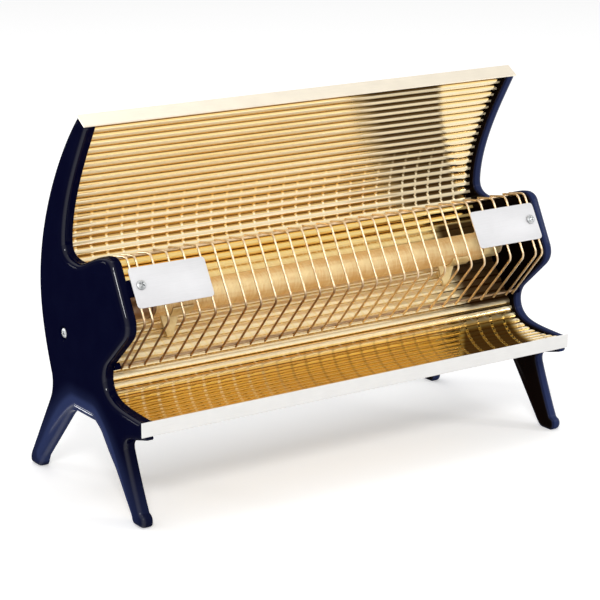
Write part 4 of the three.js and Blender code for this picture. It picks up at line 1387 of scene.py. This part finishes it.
@dataclass
class Reflector:
    """The ribbed gold sheet with its smooth cap strip and front lip."""

    section: HeaterSection
    sheet: float = 0.8
    pitch: float = 7.1
    rib_height: float = 1.6
    samples: int = 18

    def build(self, shop: Workshop) -> None:
        """Makes the sheet, the strip and the lip."""
        shop.piece("reflector_ribs", self._ribs(), Kit.GOLD, "reflector", angle=60)
        shop.piece("reflector_cap", self._cap(), Kit.STRIP, "reflector", angle=50)
        shop.piece("reflector_lip", self._lip(), Kit.TRIM, "reflector", angle=50)

    def _ribs(self) -> Shell:
        """The sheet: half-round ribs side by side, each the upper part of a flattened ellipse.

        With t running from -1 to 1 across a rib, its height is the root of 1 - t squared, lifted
        to the power 0.8, so that narrow grooves part broad crests.

        Returns:
            The closed shell, marked with its crests and its zones.
        """
        line = self.section.reflector
        count = round(lengths_along(line)[-1] / self.pitch)
        share = np.linspace(-1, 1, self.samples + 1)[:-1]
        height = np.append(np.tile(np.sqrt(1 - share**2) ** 0.8, count), 0.0)
        middle = evenly(line, len(height))
        toward = -left_of(directions(middle))
        front = middle + toward * ((height - 0.5) * self.rib_height)[:, None]
        section = np.concatenate([front, (front - toward * self.sheet)[::-1]])
        marks = {"crest": height, **self._zones(np.linspace(0, 1, len(height)))}
        spread = {name: np.concatenate([values, values[::-1]]) for name, values in marks.items()}
        ends = self.section.sheet_end
        return drawn_out(section[::-1], np.linspace(-ends, ends, 7), spread)

    @staticmethod
    def _zones(share: Array) -> dict[str, Array]:
        """The zones of the section where the gold finish paints its reflections, highlights and shade.

        Args:
            share: of the section, 0 under the cap strip and 1 at the front lip.

        Returns:
            For each zone, 1 within it and 0 outside; along is the share itself.
        """

        def zone(rise: tuple[float, float], fall: tuple[float, float]) -> Array:
            """1 between a rise and a fall."""
            return smoothstep(*rise, share) * (1 - smoothstep(*fall, share))

        depth = smoothstep(0.76, 0.84, share)
        return {
            "along": share,
            "depth": depth,
            "behind": zone((0.48, 0.52), (0.72, 0.78)),
            "dash": zone((0.22, 0.40), (0.42, 0.44)),
            "dots": bell(share, 0.795, 0.006),
            "deep": depth + 0.75 * zone((0.42, 0.45), (0.52, 0.56)),
            "step": zone((0.66, 0.69), (0.77, 0.80)),
            "upper": 1 - smoothstep(0.42, 0.46, share),
        }

    def _cap(self) -> Shell:
        """The cap strip: a flat band with a rolled edge at the front and at the back."""
        data = self.section
        under = data.cap_normal * (data.lip_sheet / 2)
        rolled = data.cap_direction * 0.5
        return self._strip(data.apex - under + rolled, data.brow - under - rolled)

    def _lip(self) -> Shell:
        """The front lip: an upright band with rolled edges."""
        data = self.section
        half = data.lip_sheet / 2
        y, foot = data.front + half, data.lip_top - data.lip_depth
        return self._strip(point(y, data.lip_top - half), point(y, foot + half))

    def _strip(self, start: Array, end: Array) -> Shell:
        """A flat band between two places of the section, as long as the whole heater."""
        data = self.section
        section = band(np.linspace(start, end, 12), data.lip_sheet)
        return drawn_out(section, np.linspace(-data.outer, data.outer, 5))


@dataclass
class Guard:
    """The welded wire guard, its two bare plates and their screws."""

    section: HeaterSection
    wire: float = 0.9
    rod: float = 1.2
    weld: float = 0.35
    pitch: float = 14.0
    count: int = 28
    bend: float = 4.5
    slope: float = 54.3
    plate_width: float = 67.8
    plate_height: float = 32.4
    plate_sheet: float = 1.0
    plate_corner: float = 3.0
    plate_outer: float = 199.1
    plate_ease: float = 0.25

    def build(self, shop: Workshop) -> None:
        """Makes the guard, the plates and the screws."""
        data = self.section
        shop.piece("guard_wires", self._guard(), Kit.GUARD, "guard", angle=60)
        shop.pair("plate_dressed", self._plate(), Kit.PLATE, "guard_plate")
        height = self.wire + 2 * CLEARANCE + self.plate_sheet
        seat = in_space(data.plate_screw_x, data.on_plate(data.plate_screw_drop, height))
        screw = laid(crosshead(3.9, 2.0, 1.4, 10.5), space_direction(data.slope_out), seat)
        shop.pair("plate_screw_dressed", screw, Kit.STEEL, "plate_screw")

    def _path(self) -> tuple[Array, Array]:
        """A wire's line, welded behind the lower cross rod and in front of the upper one.

        Returns:
            The line and the middle of the upper cross rod.
        """
        data = self.section
        top, brow, foot = data.guard_top, data.guard_brow, data.guard_foot
        nose = brow + data.slope_down * self.slope
        overlap = self.wire + self.rod - self.weld
        top_run, low_run = unit(top - brow), unit(foot - nose)
        tail = foot - left_of(low_run) * overlap
        line = softened([top + top_run * 2, brow, nose, tail + low_run * 2], self.bend, 10)
        return line, top - left_of(top_run) * overlap

    def _guard(self) -> Shell:
        """All wires and both cross rods.

        Returns:
            One shell; the lower front of the wires is marked darker, most towards the left.
        """
        line, upper = self._path()
        x = (np.arange(self.count) - (self.count - 1) / 2) * self.pitch
        x = np.concatenate([[x[0] - self.pitch / 2], x, [x[-1] + self.pitch / 2]])
        one = along_path(in_space(0, line), self.wire, 12, X_AXIS)
        # The wires are marked darker below the rod's height, most towards the left; the lower rod too.
        below = 1 - smoothstep(157, 163, one.vertices[:, 2])
        parts = []
        for place in x:
            wire = Shell(one.vertices + X_AXIS * place, one.faces)
            parts.append(wire.marked("burnt", below * (1 - smoothstep(-70, 110, place))))
        low_reach = self.section.inner + 1 - CLEARANCE
        rods = ((upper, self.section.sheet_end, 0.0), (self.section.guard_foot, low_reach, 0.6))
        for middle, reach, burnt in rods:
            corners = [(-reach, 0), (-reach, self.rod), (reach, self.rod), (reach, 0)]
            bar = turned(softened(corners, 0.3, 3), 16)
            parts.append(laid(bar, X_AXIS, in_space(0, middle)).marked("burnt", burnt))
        return reduce(Shell.plus, parts)

    def _plate(self) -> Shell:
        """A rounded plate whose edges are eased: four outlines, one above the other."""
        half = np.array([self.plate_width, self.plate_height]) / 2
        quarter, ease = np.linspace(0, math.pi / 2, 9), self.plate_ease
        arcs = []
        for turn, sign in enumerate(([1, 1], [-1, 1], [-1, -1], [1, -1])):
            arc = on_circle(quarter + turn * math.pi / 2) * self.plate_corner
            arcs.append(arc + (half - self.plate_corner) * sign)
        outline = np.concatenate(arcs)
        inner = outline * (1 - ease / half)
        top = self.plate_sheet
        rise = -space_direction(self.section.slope_down)
        rings = []
        for loop, level in ((inner, 0), (outline, ease), (outline, top - ease), (inner, top)):
            spot = self.section.on_plate(half[1], self.wire + CLEARANCE + level)
            centre = in_space(self.plate_outer - half[0], spot)
            rings.append(centre + loop[:, :1] * X_AXIS + loop[:, 1:] * rise)
        return tube(np.stack(rings))


@dataclass
class HeatingRod:
    """The wound fireclay rod with its end caps, saddles and terminals."""

    section: HeaterSection
    core: float = 9.6
    wire: float = 0.62
    outer: float = 11.8
    turn_pitch: float = 1.3
    wound_half: float = 164.0
    cap_radius: float = 11.5
    cap_length: float = 24.0
    cap_hole: float = 2.5
    nut_radius: float = 4.4
    bracket_x: float = 139.0
    bracket_width: float = 19.0
    bracket_sheet: float = 1.2
    bracket_foot: float = 14.0
    bracket_bore: float = 11.9

    def build(self, shop: Workshop) -> None:
        """Makes the winding, the caps and the saddle brackets."""
        shop.piece("winding_fine", self._winding(), Kit.WIRE, "element_winding", angle=70)
        # The left-hand cap is marked darker all over, the left-hand bracket only on its arc.
        self._darkened_pair(shop, "cap", self._cap(), 1.0)
        shop.pair("nut_dressed", self._nut(), Kit.BRASS, "terminal_nut", angle=30)
        saddle = self._bracket()
        above = saddle.vertices[:, 2] - self.section.rod[1] + self.outer
        self._darkened_pair(shop, "bracket", saddle, 0.4 * smoothstep(-3, 0, above))

    @staticmethod
    def _darkened_pair(shop: Workshop, name: str, shell: Shell, burnt: float | Array) -> None:
        """Makes a right-hand piece and its mirror image, which is marked darker.

        Args:
            shop: where they are made.
            name: of the kind of piece.
            shell: the right-hand shape.
            burnt: how much darker the left-hand one is made.
        """
        left = shell.mirrored().marked("burnt", burnt)
        shop.piece(f"{name}_dressed_right", shell, Kit.CAP, f"element_{name}_right")
        shop.piece(f"{name}_dressed_left", left, Kit.CAP, f"element_{name}_left")

    def _winding(self) -> Shell:
        """A close helix: the angle grows evenly with x, so the turns lie side by side."""
        half = self.wound_half - CLEARANCE - self.wire
        turns = int(2 * half / self.turn_pitch)
        angle = np.linspace(0, turns * 2 * math.pi, turns * 24 + 1)
        circle = on_circle(angle)[:, ::-1] * (self.outer - self.wire)
        path = in_space(np.linspace(-half, half, len(angle)), self.section.rod + circle)
        return along_path(path, self.wire, 6, X_AXIS)

    def _cap(self) -> Shell:
        """The pressed metal cap: a rolled mouth, a straight wall and a shouldered end."""
        start, end, r = self.wound_half, self.wound_half + self.cap_length, self.cap_radius
        bore, hole = self.core + CLEARANCE, self.cap_hole
        mouth = [(start, bore), (start, r + 0.3), (start + 2, r + 0.3), (start + 2.6, r - 0.5)]
        outside = [(end - 6, r - 0.5), (end - 1.5, r - 3.5), (end, r - 5), (end, hole)]
        inside = [(end - 1.1, hole), (end - 1.1, r - 5.5), (end - 6.6, bore)]
        return laid(ringed(mouth + outside + inside, 64), X_AXIS, in_space(0, self.section.rod))

    def _nut(self) -> Shell:
        """A hexagonal nut with a washer face: its radius swings between flats and corners.

        The distance of a flat is the corner's, times the cosine of 30 degrees, over the cosine of
        the angle from the flat's middle.

        Returns:
            The closed shell.
        """
        start, wide = self.wound_half + self.cap_length + CLEARANCE, self.nut_radius
        middle = [(start + 0.5, wide), (start + 3.1, wide)]
        end = [(start + 3.6, 4.0), (start + 3.6, 2.9)]
        shell = ringed([(start, 2.9), (start, 4.0), *middle, *end])
        angle = np.arctan2(shell.vertices[:, 2], shell.vertices[:, 1])
        radius = np.linalg.norm(shell.vertices[:, 1:], axis=1)
        flat = math.cos(math.pi / 6) / np.cos((angle % (math.pi / 3)) - math.pi / 6)
        factor = np.where(radius > 3.5, np.minimum(1, flat * wide / radius), 1)
        shell.vertices[:, 1:] *= factor[:, None]
        return laid(shell, X_AXIS, in_space(0, self.section.rod))

    def _bracket(self) -> Shell:
        """A saddle: an arc under the rod, a leg down to the reflector and a foot on its ribs.

        Returns:
            The closed shell, whose leg is narrower than its arc.
        """
        rod, half_sheet = self.section.rod, self.bracket_sheet / 2
        radius = self.bracket_bore + CLEARANCE + half_sheet
        arc = rod + radius * on_circle(np.radians(np.linspace(198, 292, 28)))
        tip = arc[-1] + unit(arc[-1] - arc[-2]) * 5
        seat, toward = self.section.on_reflector(point(-10, 127.9))
        sole = seat + toward * (0.8 + CLEARANCE + half_sheet)
        reach = left_of(toward) * self.bracket_foot / 2
        line = joined(arc, softened([arc[-1], tip, sole + reach, sole - reach], 2.4)[1:])
        half = self.bracket_width / 2
        across = np.array([-half, 0.2 - half, half - 0.2, half])
        shell = drawn_out(band(line, self.bracket_sheet), across)
        spots = shell.vertices
        slim = 1 - 0.7 * smoothstep(0, 3, rod[1] - radius - spots[:, 2])
        spots[:, 0] = self.bracket_x + spots[:, 0] * slim
        return shell


@dataclass
class BackCover:
    """The louvred back cover with its screws, its inlet grommet and the earth screw."""

    section: HeaterSection
    sheet: float = 1.0
    slots: int = 9
    slot_pitch: float = 34.0
    slot_length: float = 22.0
    slot_height: float = 5.0
    rows: tuple[float, float] = (206.0, 222.0)
    louvre: float = 3.0
    louvre_fall: float = 9.0
    screw_inset: float = 6.0
    inlet_x: float = 110.0
    earth_x: float = 80.0
    inlet_z: float = 116.0

    def build(self, shop: Workshop) -> None:
        """Makes the cover and what is fixed to it."""
        made = shop.piece("cover_panel", self._panel(), Kit.COVER, "back_cover", angle=50)
        solid = made.modifiers.new("wall", "SOLIDIFY")
        solid.thickness = self.sheet * MM
        solid.offset = 0.0
        for row, z in enumerate(self.section.cover_screws, 1):
            screw = self._screw(z, self.section.inner - self.screw_inset, 7.5)
            shop.pair(f"cover_screw_{row}_dressed", screw, Kit.STEEL, f"cover_screw_{row}")
        earth = self._screw(self.inlet_z, self.earth_x, 7)
        shop.piece("earth_screw_dressed", earth, Kit.BRASS, "earth_screw")
        spot, out = self.section.on_cover(self.inlet_z)
        inlet = laid(self._grommet(), space_direction(out), in_space(self.inlet_x, spot))
        shop.piece("inlet_grommet", inlet, Kit.RUBBER, "cord_grommet")

    def _screw(self, z: float, x: float, length: float) -> Shell:
        """A screw of a length that stands on the cover at a height and an x."""
        spot, out = self.section.on_cover(z)
        seat = spot + out * (self.sheet / 2 + CLEARANCE)
        return laid(crosshead(3.2, 1.8, 1.4, length), space_direction(out), in_space(x, seat))

    def _slot_places(self, line: Array) -> Array:
        """The slots' middles in the sheet's own plane.

        Args:
            line: the middle of the cover.

        Returns:
            Rows of x and the length down the line, one row of slots after the other.
        """
        steep = slice(len(line) // 2 - 1, None, -1)
        levels = np.interp(self.rows, line[steep, 1], lengths_along(line)[steep])
        x = (np.arange(self.slots) - (self.slots - 1) / 2) * self.slot_pitch
        return lattice_of(levels, x)[:, ::-1]

    def _border(self, total: float, step: float) -> Array:
        """The sheet's own edge.

        Args:
            total: the sheet's length down its line.
            step: the length between its points.

        Returns:
            The closed line round it.
        """
        end = self.section.sheet_end
        across, down = np.arange(-end, end, step), np.arange(0, total, step)
        sides = ((across, 0), (end, down), (-across, total), (-end, total - down))
        return np.concatenate([np.stack(np.broadcast_arrays(*side), axis=1) for side in sides])

    def _slot(self) -> Array:
        """The outline of a slot with round ends, its middle at the origin."""
        cap = on_circle(np.linspace(-math.pi / 2, math.pi / 2, 9)) * self.slot_height / 2
        reach = np.array([(self.slot_length - self.slot_height) / 2, 0])
        return np.concatenate([cap + reach, -cap - reach])

    def _panel(self) -> Shell:
        """The panel: a sheet in its own (x, length) plane, bent to the cover's line.

        Returns:
            The open shell with its slots cut out and its hoods raised.
        """
        step, fine_step = 4.0, 1.5
        line = self.section.cover_line()
        length = lengths_along(line)
        places = self._slot_places(line)
        border = self._border(length[-1], step)
        slots = [self._slot() + place for place in places]

        end = self.section.sheet_end
        spans = (-end, end), (0, length[-1])
        coarse = [np.arange(*span, step)[1:] - step / 2 for span in spans]
        low, high = places[:, 1].min() - 14, places[:, 1].max() + 8
        fine = lattice_of(np.arange(-160, 160, fine_step), np.arange(low, high, fine_step))
        loose = np.concatenate([lattice_of(*coarse), fine])
        for slot in slots:
            loose = loose[~inside_loop(loose, slot)]
            loose = loose[distance_to_loop(loose, slot) > 0.7]

        flat, triangles, _ = triangulated([border, *slots], loose, False)
        centre = flat[triangles].mean(axis=1)
        keep = inside_loop(centre, border)
        for slot in slots:
            keep &= ~inside_loop(centre, slot)
        place = columns_at(flat[:, 1], length, line)
        normal = unit(columns_at(flat[:, 1], length, left_of(directions(line))))
        raised = place + normal * self._louvres(flat, places)[:, None]
        return Shell(in_space(flat[:, 0], raised), triangles[keep].tolist())

    def _louvres(self, flat: Array, places: Array) -> Array:
        """How far each hood stands out: most just above its slot, falling to nothing higher up.

        Args:
            flat: points of the sheet.
            places: the slots' middles.

        Returns:
            One height for each point.
        """
        bulge = np.zeros(len(flat))
        half = self.slot_length / 2
        for x, level in places:
            above = level - self.slot_height / 2 - flat[:, 1]
            side = 1 - smoothstep(half - 4, half + 1, np.abs(flat[:, 0] - x))
            rise = (1 - smoothstep(0, self.louvre_fall, above)) * (above > -0.8)
            bulge = np.maximum(bulge, self.louvre * side * rise)
        return bulge

    @staticmethod
    def _grommet() -> Shell:
        """A rubber ring with a groove that grips the panel and a rounded collar outside."""
        inner_lip = [(-2.8, 4.2), (-2.8, 7.2), (-2.0, 8.0), (-0.8, 8.0)]
        groove = [(-0.8, 6.2), (0.8, 6.2)]
        collar = [(0.8, 8.0), (2.0, 8.0), (3.1, 7.0), (3.3, 5.6), (3.0, 4.2)]
        hole = [(1.0, 3.6), (-1.0, 3.6)]
        return ringed(inner_lip + groove + collar + hole, 56)


# ---------------------------------------------------------------- studio
@dataclass
class Studio:
    """The pale floor, the soft light and the camera."""

    floor_half: float = 12.0
    camera_place: tuple[float, float, float] = (-0.9508, -1.3919, 0.5975)
    yaw: float = -34.25
    pitch: float = 15.53
    lens: float = 125.42
    sky: float = 0.62
    floor_glow: float = 0.3

    def build(self) -> None:
        """Makes the camera first, then the floor, the lamps and the world."""
        self._camera()
        self._floor()
        self._lamp("key_softbox", (-1.62, -2.11, 2.01), (-0.1, 0, 0.15), 0.6, 36)
        self._lamp("fill_softbox", (2.2, -1.6, 1.5), (0, 0, 0.15), 0.5, 12)
        self._lamp("rear_softbox", (-1.61, 2.18, 0.32), (-0.2, 0, 0.08), 0.45, 22)
        self._lamp("top_softbox", (0.2, 0.6, 2.6), (0, 0, 0.15), 1.6, 14)
        self._world()

    @staticmethod
    def _added(name: str, data: bpy.types.ID) -> bpy.types.Object:
        """A new object of the scene."""
        made = bpy.data.objects.new(name, data)
        bpy.context.scene.collection.objects.link(made)
        return made

    def _camera(self) -> None:
        """The camera at the photograph's place and angle."""
        data = bpy.data.cameras.new("photo_camera")
        data.lens = self.lens
        data.sensor_width = 36
        data.clip_end = 100
        camera = self._added("photo_camera", data)
        camera.location = self.camera_place
        camera.rotation_euler = (math.radians(90 - self.pitch), 0, math.radians(self.yaw))
        bpy.context.scene.camera = camera

    def _floor(self) -> None:
        """A wide white floor that keeps the shadow."""
        half = self.floor_half
        corners = [(-half, -half, 0), (half, -half, 0), (half, half, 0), (-half, half, 0)]
        mesh = bpy.data.meshes.new("floor")
        mesh.from_pydata(corners, [], [(0, 1, 2, 3)])
        recipe = Recipe.material("floor_paper")
        glow = recipe.blend(recipe.looked_at(), (0, 0, 0), (self.floor_glow,) * 3)
        paper = recipe.surface(
            Base_Color=(0.9, 0.9, 0.9),
            Roughness=0.9,
            Specular_IOR_Level=0.0,
            Emission_Color=glow,
            Emission_Strength=1.0,
        )
        mesh.materials.append(paper)
        self._added("floor", mesh)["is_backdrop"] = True

    def _lamp(self, name: str, place: Spot, aim: Spot, size: float, power: float) -> None:
        """A square softbox that looks at a point.

        Args:
            name: the lamp's name.
            place: where it stands.
            aim: the point.
            size: the length of its sides.
            power: in watts.
        """
        data = bpy.data.lights.new(name, "AREA")
        data.size = size
        data.energy = power
        lamp = self._added(name, data)
        lamp.location = place
        lamp.rotation_euler = (Vector(aim) - Vector(place)).to_track_quat("-Z", "Y").to_euler()

    def _world(self) -> None:
        """Even light from all round, which the camera and reflections see as white."""
        world = bpy.data.worlds.new("studio")
        bpy.context.scene.world = world
        recipe = Recipe(world)
        strength = recipe.looked_at() * (1 - self.sky) + self.sky
        inputs = {"Color": (1, 1, 1, 1), "Strength": strength}
        recipe.ended(recipe.node("ShaderNodeBackground", None, inputs), "World")


KEPT_NODES = {
    "element_core": Kit.FIRECLAY,
    "tie_rod": Kit.STEEL,
    "bracket_rivet_left": Kit.STEEL,
    "bracket_rivet_right": Kit.STEEL,
    "terminal_stud_left": Kit.BRASS,
    "terminal_stud_right": Kit.BRASS,
    "terminal_block": Kit.PORCELAIN,
    "block_terminal_left": Kit.BRASS,
    "block_terminal_right": Kit.BRASS,
    "lead_left": Kit.SLEEVE,
    "lead_right": Kit.SLEEVE,
}


def main() -> None:
    """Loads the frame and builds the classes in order."""
    logging.basicConfig(level=logging.INFO, format="%(message)s")
    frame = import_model()
    cad_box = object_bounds()
    bpy.context.scene.view_settings.view_transform = "Standard"
    section = HeaterSection(*(np.array(corner) / MM for corner in cad_box))
    Studio().build()
    shop = Workshop()
    for part in (Cheek, Reflector, Guard, HeatingRod, BackCover):
        log.info("building %s", part.__name__)
        part(section).build(shop)
    for name, finish in KEPT_NODES.items():
        shop.dress(frame["nodes"][name], finish)


if __name__ == "__main__":
    main()
